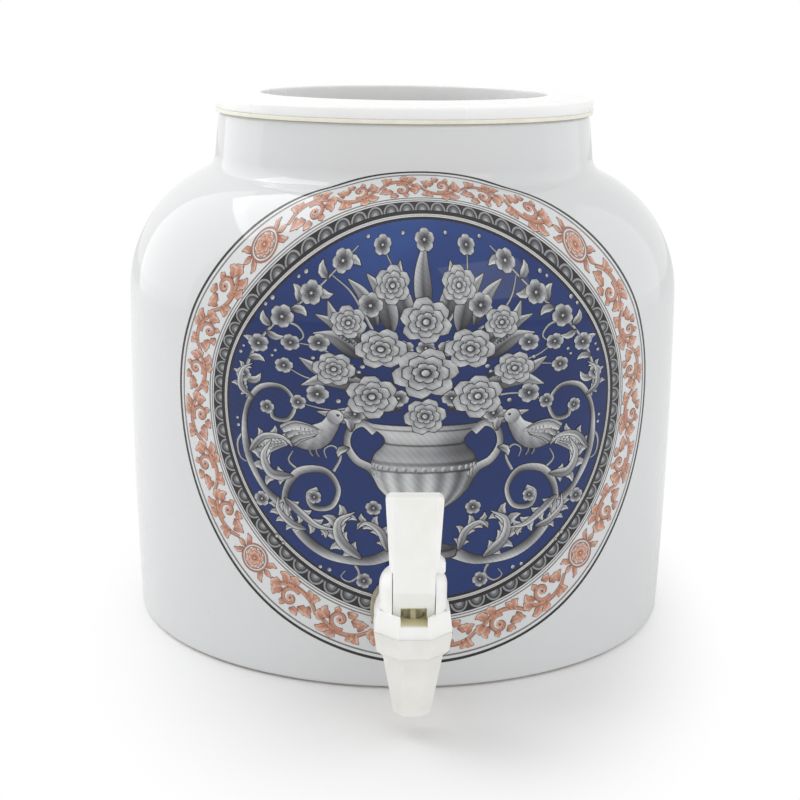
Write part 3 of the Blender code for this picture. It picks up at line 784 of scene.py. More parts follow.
def layOnCrock(mesh):
    count = len(mesh.vertices)
    flat = np.empty(count * 3)
    mesh.vertices.foreach_get("co", flat)
    flat = flat.reshape(-1, 3)
    climb = printLook["climb"] + np.polyval(printLook["rise"], flat[:, 1] / 100)
    radius = np.interp(climb, crockRun, crockLine[:, 0])
    height = np.interp(climb, crockRun, crockLine[:, 1])
    out = np.interp(climb, crockRun, crockLean[:, 1])
    up = -np.interp(climb, crockRun, crockLean[:, 0])
    angle = math.radians(printLook["turn"]) + printLook["stretch"] * flat[:, 0] / crockSize["belly"]
    radius = radius + out * flat[:, 2]
    height = height + up * flat[:, 2]
    placed = np.stack([radius * np.sin(angle), -radius * np.cos(angle), height], axis=1) * mm
    normals = np.stack([out * np.sin(angle), -out * np.cos(angle), up], axis=1)
    mesh.vertices.foreach_set("co", placed.ravel())
    mesh.update()
    mesh.shade_smooth()
    mesh.normals_split_custom_set_from_vertices(normals.tolist())


def inkTones(codes):
    # a run of colours from dark to light, ready to be read at any tone from 0 to 1
    table = np.array([hexColor(code)[:3] for code in codes])
    stops = np.linspace(0, 1, len(codes))

    def read(tone):
        tone = np.clip(tone, 0, 1)
        return np.stack([np.interp(tone, stops, table[:, c]) for c in range(3)], axis=-1)

    return read


greyInk = inkTones(["#141314", "#444447", "#7B7C80", "#AFB0B2", "#D6D7D7"])
coralInk = inkTones(["#54382E", "#A9745D", "#C98F76", "#D8AB96", "#E2C8BB"])


def newSheet():
    return {"points": [], "faces": [], "ink": []}


def addGrid(sheet, grid, ink, level, closed=False):
    # grid is rows x columns x 2; ink is a colour for each of its points, or one for all
    rows, columns = grid.shape[:2]
    first = len(sheet["points"])
    colors = np.broadcast_to(ink, (rows, columns, 3)).reshape(-1, 3)
    for (x, y), color in zip(grid.reshape(-1, 2), colors):
        sheet["points"].append((x, y, (level + 1) * printLook["film"]))
        sheet["ink"].append(color)
    for row in range(rows - 1):
        for column in range(columns if closed else columns - 1):
            after = (column + 1) % columns
            a, b = first + row * columns + column, first + row * columns + after
            sheet["faces"].append((a, b, b + columns, a + columns))


def plainInk(code):
    return np.array(hexColor(code)[:3])


def sideways(line):
    # The unit directions along a line and to its left, at each of its points
    ahead = np.gradient(line, axis=0)
    ahead /= np.linalg.norm(ahead, axis=1)[:, None] + 1e-9
    return ahead, np.stack([-ahead[:, 1], ahead[:, 0]], axis=1)


def taper(start, end):
    # A width that changes evenly from one end of a strip to the other
    def read(t):
        return start + (end - start) * t

    return read


def slant(value, first=0.0, second=0.0):
    # A tone that changes evenly along each of the two directions of a film
    def read(a, b):
        return value + first * a + second * b

    return read


def dome(value, fall):
    # A tone that darkens from the middle of a disc outwards
    def read(x, y):
        return value - fall * (x * x + y * y)

    return read


def ripple(value, across, depth, pace):
    # A tone with a slant across a strip and waves along it
    def read(t, s):
        return value + across * s + depth * np.cos(pace * t)

    return read


def addStrip(sheet, line, width, tone, level, ink=greyInk, columns=4, outline=0.4, edge=0.05):
    # A ribbon along a line, on a wider one in the edge's tone. width(t) and tone(t, s) run with
    # t from end to end and s from side to side
    line = np.asarray(line)
    t = np.linspace(0, 1, len(line))
    ahead, side = sideways(line)
    half = width(t)
    s = np.linspace(-1, 1, columns + 1)
    wide = line.copy()
    wide[0] -= ahead[0] * outline
    wide[-1] += ahead[-1] * outline
    under = wide[:, None, :] + side[:, None, :] * (half[:, None, None] + outline) * s[None, :, None]
    addGrid(sheet, under, ink(np.array(edge)), level)
    grid = line[:, None, :] + side[:, None, :] * half[:, None, None] * s[None, :, None]
    addGrid(sheet, grid, ink(tone(t[:, None], s[None, :])), level + 1)


def addDisc(sheet, center, radius, tone, level, ink=greyInk, rings=1, spokes=10, squash=(1, 1)):
    angle = np.linspace(0, 2 * math.pi, spokes, endpoint=False)
    share = np.linspace(0.02, 1, rings + 1)[:, None]
    across, up = share * np.cos(angle)[None, :], share * np.sin(angle)[None, :]
    x = center[0] + radius * squash[0] * share * np.cos(angle)[None, :]
    y = center[1] + radius * squash[1] * share * np.sin(angle)[None, :]
    addGrid(sheet, np.stack([x, y], axis=-1), ink(tone(across, up)), level, closed=True)


def addRing(sheet, inner, outer, level, ink, spokes=240, rings=1):
    angle = np.linspace(0, 2 * math.pi, spokes, endpoint=False)
    radius = np.linspace(inner, outer, rings + 1)
    grid = np.stack([radius[:, None] * np.cos(angle), radius[:, None] * np.sin(angle)], axis=-1)
    addGrid(sheet, grid, ink(grid) if callable(ink) else ink, level, closed=True)


def addHalfRound(sheet, width, height, tone, level):
    # It stands on its flat side
    angle = np.linspace(0, math.pi, 11)
    share = np.array([0.0, 1.0])[:, None]
    x = width * share * np.cos(angle)[None, :]
    y = height * share * np.sin(angle)[None, :]
    addGrid(sheet, np.stack([x, y], axis=-1), greyInk(np.full(x.shape, tone)), level)


def leafWidth(width, fullest=0.4):
    def read(t):
        rise = np.sin(math.pi / 2 * np.clip(t / fullest, 0, 1)) ** 0.8
        fall = np.cos(math.pi / 2 * np.clip((t - fullest) / (1 - fullest), 0, 1))
        return width * (0.08 + 0.92 * rise) * (0.04 + 0.96 * fall)

    return read


def leafTone(low, high, side=1):
    # Darker at the root and on the side away from the light, with a crease along the middle and
    # a paler rim
    def read(t, s):
        crease = 0.22 * np.exp(-((s / 0.14) ** 2))
        rim = 0.12 * np.exp(-(((abs(s) - 0.8) / 0.2) ** 2))
        return low + (high - low) * t**0.7 + 0.22 * s * side - crease + rim

    return read


def bendLine(start, end, bend):
    start, end = np.array(start, float), np.array(end, float)
    along = end - start
    across = np.array([-along[1], along[0]]) * bend
    near, far = start + along * 0.3 + across * 0.7, start + along * 0.65 + across
    return smoothLine([start, near, far, end])


def addLeaf(sheet, start, end, bend, width, level, ink=greyInk, low=0.3, high=0.95, side=1):
    line = bendLine(start, end, bend)
    outline = 0.38 if ink is greyInk else 0.22
    tone = leafTone(low, high, side)
    addStrip(sheet, line, leafWidth(width), tone, level, ink, outline=outline)


def addAcanthus(sheet, controls, width, level, lobes):
    # A curling leaf: pairs of lobes that lie back along a rib, the largest near its middle
    rib = smoothLine(controls, 0.8)
    ahead, across = sideways(rib)
    for number in range(lobes):
        share = (number + 0.5) / lobes * 0.86
        at = int(share * (len(rib) - 1))
        reach = width * (0.45 + 0.75 * math.sin(math.pi * (share * 0.8 + 0.12)))
        over = level + (number % 2) * 2
        for side in (-1, 1):
            tip = rib[at] + ahead[at] * reach * 0.95 + across[at] * side * reach
            addLeaf(sheet, rib[at], tip, -0.22 * side, reach * 0.34, over, low=0.25, side=side)
    addStrip(sheet, rib, leafWidth(width * 0.42, 0.25), leafTone(0.4, 0.95), level + 4, outline=0.3)


def addTendril(sheet, controls, width, level):
    shape, tone = taper(width, 0.25 * width), slant(0.675, 0.0, -0.225)
    addStrip(sheet, smoothLine(controls), shape, tone, level, columns=2, outline=0.25, edge=0.08)


def spiral(center, start, end, fromAngle, turns, count=12):
    # Control points that wind in from one radius to another
    share = np.linspace(0, 1, count)
    angle = math.radians(fromAngle) + 2 * math.pi * turns * share
    radius = start + (end - start) * share**0.85
    return [(center[0] + r * math.cos(a), center[1] + r * math.sin(a)) for r, a in zip(radius, angle)]


def petalWidth(half):
    def read(t):
        return half * (0.12 + 0.88 * np.sin(math.pi * np.clip(t * 0.86 + 0.06, 0, 1)) ** 0.65)

    return read


def petalTone(t, s):
    # Pale towards the tip, with a darker lip, a crease at the root and one side in shade
    crease = 0.2 * np.exp(-((s / 0.16) ** 2)) * (1 - t)
    lip = 0.25 * np.clip(t - 0.88, 0, 1) / 0.12
    return 0.22 + 0.74 * t**1.2 - crease - lip + 0.1 * s


def addBlossom(sheet, petals=5, size=1.0, level=0, layers=1, ink=greyInk):
    # Rings of petals that don't overlap in one ring; each ring is smaller and half a petal round
    for layer in range(layers):
        reach = size * (1.0 - 0.30 * layer)
        shape = petalWidth(reach * math.sin(math.pi / petals) * 0.86)
        for number in range(petals):
            angle = 2 * math.pi * (number + 0.5 * (layer % 2)) / petals + 0.31 * layer
            way = np.array([math.cos(angle), math.sin(angle)])
            line = np.linspace(0.1 * reach, reach, 7)[:, None] * way
            over, outline = level + 2 * layer, 0.036 * size
            addStrip(sheet, line, shape, petalTone, over, ink, outline=outline, edge=0.08)
    top = level + 2 * layers
    addDisc(sheet, (0, 0), size * 0.20, slant(0.12), top, ink)
    addDisc(sheet, (0, 0), size * 0.13, slant(0.82, -0.25, 0.25), top + 1, ink, spokes=8)


def flipped(points, side):
    # The points themselves for side 1, and their mirror images for side -1
    return [(side * x, y) for x, y in points]


def faceUp(mesh):
    # Turns over the faces of a flat sheet that look down
    shape = bmesh.new()
    shape.from_mesh(mesh)
    shape.normal_update()
    bmesh.ops.reverse_faces(shape, faces=[face for face in shape.faces if face.normal.z < 0])
    shape.to_mesh(mesh)
    shape.free()
    return mesh


def sheetMesh(name, sheet, finish):
    mesh = bpy.data.meshes.new(name)
    mesh.from_pydata(sheet["points"], [], sheet["faces"])
    ink = mesh.attributes.new("ink", "FLOAT_COLOR", "POINT")
    colors = np.ones((len(sheet["ink"]), 4))
    colors[:, :3] = np.array(sheet["ink"])
    ink.data.foreach_set("color", colors.ravel())
    mesh.materials.append(finish)
    return faceUp(mesh)


def repeatTree():
    # Puts a motif on every point of a guide, turned and sized by the point's own values; a film's
    # height over the glaze stays as it is
    tree = bpy.data.node_groups.new("repeated motif", "GeometryNodeTree")
    tree.interface.new_socket("Places", in_out="INPUT", socket_type="NodeSocketGeometry")
    sockets = {}
    for name, kind in (
        ("Motif", "NodeSocketObject"),
        ("Size", "NodeSocketFloat"),
        ("Ink", "NodeSocketMaterial"),
    ):
        sockets[name] = tree.interface.new_socket(name, in_out="INPUT", socket_type=kind).identifier
    tree.interface.new_socket("Geometry", in_out="OUTPUT", socket_type="NodeSocketGeometry")
    given = addNode(tree, "NodeGroupInput")
    motif = addNode(tree, "GeometryNodeObjectInfo", links={"Object": given.outputs["Motif"]})
    turn, grow = [
        addNode(
            tree, "GeometryNodeInputNamedAttribute", {"data_type": "FLOAT_VECTOR", "Name": key}
        ).outputs["Attribute"]
        for key in ("turn", "grow")
    ]
    spread = addNode(
        tree, "ShaderNodeVectorMath", {"operation": "SCALE"}, {0: grow, "Scale": given.outputs["Size"]}
    )
    flat = addNode(
        tree,
        "ShaderNodeVectorMath",
        {"operation": "MULTIPLY_ADD", 1: (1, 1, 0), 2: (0, 0, 1)},
        {0: spread.outputs[0]},
    )
    placed = addNode(
        tree,
        "GeometryNodeInstanceOnPoints",
        links={
            "Points": given.outputs["Places"],
            "Instance": motif.outputs["Geometry"],
            "Rotation": turn,
            "Scale": flat.outputs[0],
        },
    )
    endTree(tree, placed.outputs[0], given.outputs["Ink"])
    return tree, sockets


repeating, repeatSockets = repeatTree()


def repeatMotif(name, sheet, places, finish):
    motif = bpy.data.objects.new(name + "_motif", sheetMesh(name + "_motif", sheet, finish))
    scene.collection.objects.link(motif)
    points = bpy.data.meshes.new(name)
    points.from_pydata([(x, y, 0) for x, y, turn, grow in places], [], [])
    for key, values in (
        ("turn", [(0, 0, math.radians(turn)) for x, y, turn, grow in places]),
        ("grow", [(grow, abs(grow), 1) for x, y, turn, grow in places]),
    ):
        attribute = points.attributes.new(key, "FLOAT_VECTOR", "POINT")
        attribute.data.foreach_set("vector", np.array(values, float).ravel())
    guide = bpy.data.objects.new(name, points)
    scene.collection.objects.link(guide)
    repeat = guide.modifiers.new("repeat", "NODES")
    repeat.node_group = repeating
    repeat[repeatSockets["Motif"]] = motif
    repeat[repeatSockets["Size"]] = printLook["motifs"]
    repeat[repeatSockets["Ink"]] = finish
    mesh = plainMesh(guide, name)
    bpy.data.objects.remove(motif)
    return faceUp(mesh)


# Circles, from the outermost dark line to the field
printRings = [
    (117.5, 118.8, "line"),
    (115.4, 116.2, "grey"),
    (98.3, 98.9, "grey"),
    (97.0, 97.5, "grey"),
    (90.0, 96.4, "ground"),
    (89.1, 89.7, "silver"),
    (87.4, 88.7, "night"),
]


def drawRings():
    sheet = newSheet()
    for inner, outer, color in printRings:
        rings = 1 if outer - inner < 3 else 3
        addRing(sheet, inner, outer, 1, plainInk(printLook[color]), rings=rings)
    return sheet


def drawField():
    # cobalt, laid on unevenly in small waves and deeper across the middle; paler towards the top as
    # painted light, where the shoulder turns up to the lamps
    sheet = newSheet()
    shades = np.array([plainInk(printLook[c]) for c in ("cobaltLow", "cobalt", "cobaltPaintedLight")])

    def washWithPaintedLight(grid):
        x, y = grid[..., 0], grid[..., 1]
        height = y / 87 + 0.10 * np.sin(x / 17 + y / 29) + 0.06 * np.sin(x / 7.3 - y / 9.1)
        place = np.interp(height, [-1, -0.55, 0.1, 0.65, 1], [1.0, 0.75, 0.15, 0.9, 1.6])
        return np.stack([np.interp(place, [0, 1, 2], shades[:, c]) for c in range(3)], axis=-1)

    addRing(sheet, 0.4, 87.6, 1, washWithPaintedLight, spokes=216, rings=56)
    return sheet


def drawScallop():
    sheet = newSheet()
    for number, (width, height, tone) in enumerate(
        ((3.85, 4.5, 0.60), (3.05, 3.7, 0.22), (2.1, 2.7, 0.42), (1.15, 1.5, 0.66))
    ):
        addHalfRound(sheet, width, height, tone, 2 + number)
    return sheet


borderStem = [(-12.2, -0.3), (-8, 3.0), (-2, 4.6), (4, 3.6), (8.6, 1.0), (12.2, 0.3)]
borderLeaves = [
    # root, tip, bend and width
    ((-7.5, 2.6), (-10.6, 6.4), -0.25, 1.5),
    ((-5.5, 3.8), (-4.6, 7.0), 0.25, 1.3),
    ((1.2, 4.4), (5.4, 7.0), 0.25, 1.6),
    ((5.2, 3.2), (10.4, 5.8), 0.22, 1.6),
    ((7.6, 1.6), (10.8, -2.6), 0.28, 1.5),
    ((5.6, -0.6), (8.2, -5.4), 0.30, 1.7),
    ((4.0, -4.4), (3.2, -7.2), -0.2, 1.2),
    ((-1.4, -6.2), (-5.6, -6.8), -0.25, 1.4),
    ((-4.2, -3.0), (-8.6, -4.6), -0.28, 1.6),
    ((-8.4, 0.6), (-11.6, -3.6), 0.28, 1.4),
]


def borderStemWidth(t):
    return 0.62 + 0.25 * np.sin(math.pi * t)


def drawBorderScroll():
    # One wave of a leafy scroll; the next wave is the same one turned over
    sheet = newSheet()
    heart = (0.8, -1.5)
    curl = smoothLine(spiral(heart, 5.2, 1.3, 118, -1.05), 1.0)
    for line, width, value in (
        (smoothLine(borderStem, 1.2), borderStemWidth, 0.45),
        (curl, taper(1.0, 0.45), 0.42),
    ):
        tone = slant(value, 0.0, -0.2)
        addStrip(sheet, line, width, tone, 2, coralInk, columns=2, outline=0.2, edge=0.0)
    for root, tip, bend, width in borderLeaves:
        addLeaf(sheet, root, tip, bend, 1.3 * width, 3, coralInk, 0.3, 0.8)
    for angle in range(0, 360, 60):
        a = math.radians(angle)
        center = (heart[0] + 1.15 * math.cos(a), heart[1] + 1.15 * math.sin(a))
        addDisc(sheet, center, 0.62, dome(0.78, 0.2), 5, coralInk, spokes=8)
    addDisc(sheet, heart, 0.6, slant(0.1), 6, coralInk, spokes=8)
    return sheet


def drawRosette():
    # The round stop between two runs of the scroll
    sheet = newSheet()
    addRing(sheet, 6.0, 6.9, 3, coralInk(np.array(0.25)), spokes=36)
    addRing(sheet, 4.9, 5.3, 3, coralInk(np.array(0.15)), spokes=32)
    addBlossom(sheet, petals=8, size=4.5, level=4, layers=2, ink=coralInk)
    for side in (-1, 1):
        for up, bend in ((3.6, 0.25), (0.0, 0.0), (-3.6, -0.25)):
            root, tip = flipped([(6.8, up * 0.45), (11.2 - abs(up) * 0.35, up * 1.5)], side)
            addLeaf(sheet, root, tip, bend * side, 1.25, 3, coralInk, 0.3, 0.8)
    return sheet


urn = {
    # height, measured down from the lip's plane, and half width, from the foot up to the lip
    "outline": [
        (-68, 13.5), (-66, 14.5), (-64, 13), (-62.5, 8), (-58, 5), (-53, 4.2), (-50.5, 6.8),
        (-48.5, 7.2), (-47, 5.5), (-45, 9), (-41, 14.5), (-36, 18.8), (-30, 21.6), (-24, 22.2),
        (-19.5, 20.6), (-16.5, 17.6), (-14, 16.2), (-11.5, 16.8), (-9, 19.4), (-7, 22.4),
        (-5.6, 23.6), (-4.4, 23.0),
    ],
    # heights of the dark lines between its mouldings
    "lines": (-64.6, -50.8, -47.0, -26.4, -22.8, -14.4, -7.2),
    # lowest, highest, depth and pace of the flutes of its bowl and its foot
    "flutes": ((-46, -27, 0.17, 15), (-62, -53, 0.14, 9)),
    # the right handle, from the neck out and down to the bowl
    "grip": [
        (20.5, -9.5), (25.5, -5.4), (30.8, -8.6), (32.2, -16), (28.4, -23), (22.6, -26.4),
        (19.4, -30.5),
    ],
    "beads": {"row": 21.4, "turn": 0.195, "height": -24.6, "sag": 2.64, "size": 1.15},
}


def urnTone(heights, half, s):
    # Round, lit from the left and from far right
    turn = np.arcsin(np.clip(s, -1, 1))[None, :]
    lean = np.gradient(half, heights)[:, None]
    tone = 0.30 + 0.52 * np.clip(np.cos(turn + 0.55), 0, 1) - 0.11 * np.clip(-lean, -1, 1)
    tone = tone + 0.10 * np.exp(-(((turn - 1.1) / 0.25) ** 2))
    for low, high, depth, pace in urn["flutes"]:
        fluted = ((heights > low) & (heights < high))[:, None]
        tone = tone + np.where(fluted, depth * np.sin(turn * pace), 0)
    for line in urn["lines"]:
        tone = tone - 0.45 * np.exp(-(((heights - line) / 0.45) ** 2))[:, None]
    return tone


def gripWidth(t):
    return 1.35 + 0.9 * np.abs(t - 0.45)


def drawUrn():
    sheet = newSheet()
    heights = np.arange(-68, -4.3, 0.8)
    known = np.array(urn["outline"])
    half = np.interp(heights, known[:, 0], known[:, 1])
    half = np.convolve(np.pad(half, 1, mode="edge"), [0.25, 0.5, 0.25], mode="valid")
    s = np.linspace(-1, 1, 33)
    # its level lines are seen a little from above, the lower ones more
    sag = 0.13 * half[:, None] * np.sqrt(np.clip(1 - s**2, 0, 1))[None, :]
    y = heights[:, None] - sag * np.interp(heights, [-68, -5], [1, 0.6])[:, None]
    rim = 0.55
    under = y.copy()
    under[0] -= rim
    under[-1] += rim
    x = (half + rim)[:, None] * s[None, :]
    addGrid(sheet, np.stack([x, under], axis=-1), greyInk(np.array(0.05)), 6)
    x = half[:, None] * s[None, :]
    addGrid(sheet, np.stack([x, y], axis=-1), greyInk(urnTone(heights, half, s)), 7)
    beads = urn["beads"]
    for step in range(-7, 8):
        turn = step * beads["turn"]
        center = (beads["row"] * math.sin(turn), beads["height"] - beads["sag"] * math.cos(turn))
        squash = (math.cos(turn) * 0.75 + 0.2, 1)
        addDisc(sheet, center, beads["size"], slant(0.72, -0.3, 0.25), 8, squash=squash)
    for side in (-1, 1):
        grip = smoothLine(flipped(urn["grip"], side))
        addStrip(sheet, grip, gripWidth, ripple(0.62, -0.25 * side, 0.1, 9), 6, columns=3)
        for root, tip, width in (
            ((30.5, -9.5), (34.6, -3.0), 1.7),
            ((31.4, -17.5), (36.0, -22.0), 1.6),
        ):
            root, tip = flipped([root, tip], side)
            addLeaf(sheet, root, tip, 0.25 * side, width, 8)
    return sheet


# The right half's scrolls and leaves; the left half mirrors them
scrollLines = [
    # points along the scroll, and its width at the root
    ([(11, -66), (24, -71), (41, -69), (55, -58), (60, -44), (54, -31), (42, -29), (36, -37),
      (39, -46), (47, -47), (49, -41), (45, -38)], 2.7),
    ([(58, -50), (70, -40), (78, -24), (79, -6), (72, 8), (61, 10), (55, 2), (58, -6), (65, -6),
      (66, -1)], 2.1),
]
scrollAcanthus = [
    # points along the rib, width and number of lobe pairs
    ([(26, -70), (35, -62), (36, -53), (29, -48)], 5.2, 5),
    ([(50, -58), (57, -56), (63, -50), (63, -44)], 3.6, 5),
    ([(60, -44), (52, -51), (45, -56), (37, -57)], 4.0, 4),
    ([(56, -33), (66, -33), (70, -25), (66, -17)], 5.0, 5),
    ([(77, -24), (70, -16), (61, -15), (56, -19)], 3.6, 4),
    ([(75, 3), (81, 8), (80, 17), (75, 21)], 3.4, 4),
    ([(15, -66), (18, -57), (24, -53), (28, -56)], 3.8, 4),
]
sideBranch = [(77, 0), (79, 14), (73, 32), (62, 47), (48, 59), (36, 71), (30, 77)]
branchLeaves = [
    # root, tip and bend
    ((79, 12), (71, 16), 0.25), ((77, 24), (69, 23), -0.2), ((74, 31), (79.5, 36), 0.2),
    ((68, 40), (60, 38), 0.2), ((66, 43), (70, 50), -0.2), ((57, 52), (50, 49), -0.2),
    ((54, 55), (57, 62), 0.2), ((46, 61), (39, 59), 0.2), ((42, 65), (45, 71.5), -0.2),
    ((36, 71), (28, 70), -0.2),
]
scrollTendrils = [
    [(79, -14), (83, -20), (82, -27), (78, -29), (76, -25)],
    [(38, -29), (35, -22), (38, -17), (42, -19), (41, -23)],
    [(60, 46), (54, 44), (51, 39), (54, 36), (57, 39)],
    [(30, -71), (27, -77), (31, -81), (35, -79), (33, -76)],
    [(52, -31), (58, -26), (56, -21)],
]


def scrollWidth(width):
    def read(t):
        return width * (1 - 0.6 * t) * (0.85 + 0.15 * np.cos(t * 20))

    return read


def drawScrolls():
    sheet = newSheet()
    for side in (-1, 1):
        for controls, width in scrollLines:
            line = smoothLine(flipped(controls, side))
            addStrip(sheet, line, scrollWidth(width), ripple(0.58, -0.30 * side, 0.12, 31), 4)
        addTendril(sheet, flipped(sideBranch, side), 0.9, 2)
        for controls, width, lobes in scrollAcanthus:
            addAcanthus(sheet, flipped(controls, side), width, 4, lobes)
        for root, tip, bend in branchLeaves:
            root, tip = flipped([root, tip], side)
            addLeaf(sheet, root, tip, bend * side, 1.9, 4)
        for controls in scrollTendrils:
            addTendril(sheet, flipped(controls, side), 0.62, 2)
    return sheet


# Leaves and stalks of the right half of the bunch, under its flowers
bunchLeaves = [
    # tip, root, bend and width
    ((45, -1), (14, 8), -0.16, 4.0), ((52, 12), (22, 12), 0.14, 4.2), ((53, 27), (26, 20), -0.12, 4.0),
    ((47, 41), (26, 28), 0.14, 4.0), ((41, 56), (22, 36), -0.12, 4.0), ((25, 67), (14, 42), 0.12, 4.0),
    ((11, 72), (5, 48), -0.10, 3.6), ((34, -3), (10, 2), 0.18, 3.4), ((46, 50), (30, 36), 0.1, 2.6),
    ((33, 65), (20, 46), 0.1, 2.8),
]
bunchStalks = [
    # tip, root and bend
    ((60, 22), (30, 16), 0.12), ((57, 35), (30, 24), -0.1), ((19, 77), (8, 46), -0.08),
    ((40, 66), (22, 44), -0.1), ((53, 3), (20, 6), 0.12),
]


def drawLeaves():
    sheet = newSheet()
    for side in (-1, 1):
        for tip, root, bend, width in bunchLeaves:
            root, tip = flipped([root, tip], side)
            addLeaf(sheet, root, tip, bend * side, width, 4, low=0.12, high=0.78, side=side)
        for tip, root, bend in bunchStalks:
            stalk = [*bendLine(root, tip, bend * side)[::6], tip]
            addTendril(sheet, flipped(stalk, side), 0.6, 2)
    addLeaf(sheet, (0, 50), (0, 79), 0.05, 3.6, 4, low=0.12, high=0.8)
    return sheet


bird = {
    # points along the middle of the body, from the tail's root up to the head, and half widths
    "body": [(11.5, -5.2), (8, -4.2), (4, -3.4), (0, -2.0), (-4, 0.6), (-7.2, 4.2), (-8.8, 7.6)],
    "widths": (0.6, 2.7, 4.8, 5.7, 5.2, 3.8, 3.1),
    "tail": [(25, -13.5), (26.5, -11), (27, -8.4), (26, -6.2)],
    "beak": [(-12.4, 9.5), (-14.2, 9.3), (-16.6, 8.2)],
    "head": (-9.6, 9.0),
    "feet": (-1.2, 1.6),
}


def tailWidth(t):
    return 0.75 + 0.9 * t - 1.1 * np.clip(t - 0.85, 0, 1) / 0.15


def bodyWidth(t):
    return np.interp(t, np.linspace(0, 1, len(bird["widths"])), bird["widths"])


def bodyTone(t, s):
    return 0.72 - 0.30 * s + 0.10 * np.sin(t * 34 + s * 5) * (1 - t)


def quillWidth(t):
    return 0.5 + 1.15 * np.sin(math.pi * np.clip(t * 0.9, 0, 1)) ** 0.7


def drawBird():
    # A small perched bird, looking to the left; the feathers lie one over the next
    sheet = newSheet()
    for number, tip in enumerate(bird["tail"]):
        line = bendLine((9, -4.5 + number * 0.5), tip, 0.04)
        tone = slant(0.42 + 0.12 * number, 0.0, -0.3)
        addStrip(sheet, line, tailWidth, tone, 6, columns=2, outline=0.32)
    addStrip(sheet, smoothLine(bird["body"], 0.9), bodyWidth, bodyTone, 8, columns=8)
    addDisc(sheet, bird["head"], 3.9, slant(0.04), 9, spokes=20)
    addDisc(sheet, bird["head"], 3.5, slant(0.74, -0.18, 0.2), 10, rings=3, spokes=20)
    shape, tone = taper(1.23, 0.08), slant(0.42, 0.0, -0.2)
    addStrip(sheet, bird["beak"], shape, tone, 9, columns=2, outline=0.25)
    addDisc(sheet, (-10.9, 9.9), 0.72, slant(0.02), 11)
    addDisc(sheet, (-11.1, 10.2), 0.22, slant(1.0), 12, spokes=6)
    for number in range(7):
        tip = (14.5 - number * 1.0, 1.6 - number * 1.25)
        root = (-2.6 + number * 0.25, 1.8 - number * 0.35)
        line, tone = bendLine(root, tip, 0.13), slant(0.92 - 0.07 * number, -0.1, -0.26)
        over = 10 + (number % 2) * 2
        addStrip(sheet, line, quillWidth, tone, over, columns=3, outline=0.28)
    for number in range(5):
        center = (-3.0 + number * 1.7, 1.4 - number * 0.35)
        addDisc(sheet, center, 1.25, dome(0.9, 0.35), 14, squash=(1.2, 0.8))
    for foot in bird["feet"]:
        line = [(foot, -7.0), (foot - 0.5, -9.2), (foot - 1.6, -10.6)]
        shape, tone = taper(0.42, 0.42), slant(0.4, 0.0, -0.2)
        addStrip(sheet, line, shape, tone, 7, columns=1, outline=0.2, edge=0.03)
    return sheet


def bothSides(places):
    return places + [(-x, y, 180 - turn, size) for x, y, turn, size in places]


# Places are (x, y, turn in degrees, size), and a negative size turns the motif over
rosePlaces = [(0, 21, 12, 13.5), (0, 48, 40, 10.5), (0, -1.5, 70, 8.6)] + bothSides([
    (22, 8, 25, 10.8), (18.5, 34, 55, 10.6), (38, 22, 5, 9.0), (32, 47, 20, 7.6), (14, 63, 33, 7.4),
])
sprigPlaces = bothSides([
    (72, 33, 10, 5.0), (61, 48, 40, 5.4), (48.5, 59, 20, 5.0), (36, 71.5, 60, 4.6),
    (60, 22, 30, 4.2), (57, 35, 0, 4.4), (19, 77.5, 15, 3.9), (79.5, 14.5, 50, 3.8),
    (53.5, 3, 15, 3.6), (45, 8, 35, 5.0), (23, 55, 35, 5.2), (9, 34.5, 0, 4.2),
    (29, -1, 45, 4.6), (44.5, 36, 25, 4.8), (71, -46, 12, 3.6), (25, -80, 40, 3.4),
    (68, -1, 33, 3.4), (46.5, -42, 5, 3.2), (21, -45.5, 20, 3.4), (11, 7.5, 50, 4.2),
]) + [(0, 79.5, 18, 4.4), (0, 34.8, 50, 4.0)]
berryPlaces = bothSides([
    (66, 56, 0, 1.0), (69, 53, 0, 0.8), (81, 27, 0, 0.9), (79.5, 30.5, 0, 0.7), (52, 67, 0, 0.9),
    (55, 65, 0, 0.7), (26, 80.5, 0, 0.8), (10, 82, 0, 0.8), (64, 30, 0, 0.8), (65.5, 27, 0, 0.7),
    (82.5, -12, 0, 0.8), (83, -8.5, 0, 0.7), (64, -63, 0, 0.9), (61, -66, 0, 0.7), (40, -76, 0, 0.9),
    (44, -75, 0, 0.8), (36, 5, 0, 1.0), (47, 27.5, 0, 0.9), (8.5, 58.5, 0, 0.9), (26, 24, 0, 1.0),
    (27.5, 21, 0, 0.8),
])
birdPlaces = [(47, -12, 0, 1.0), (-47, -12, 0, -1.0)]


def roundPlaces(count, radius, start=0.0, flips=(1,)):
    # Places spaced evenly round the print, each motif's up pointing outwards. The flips say for
    # one place after another whether it holds the motif, the motif turned over (-1) or none
    places = []
    for number in range(count):
        flip = flips[number % len(flips)]
        if flip:
            turn = start + 360 * number / count
            a = math.radians(turn)
            up = turn - 90 if flip > 0 else turn + 90
            places.append((radius * math.cos(a), radius * math.sin(a), up, flip))
    return places


# The ink melts into the glaze in the kiln, so the print is as glossy as the crock: what tells it
# from paint is that, the fine lines of the screen and the slightly uneven colour
transfer = {"mottle": 9.0 * mm, "hatch": 1.5 * mm, "hatchDepth": 0.10}


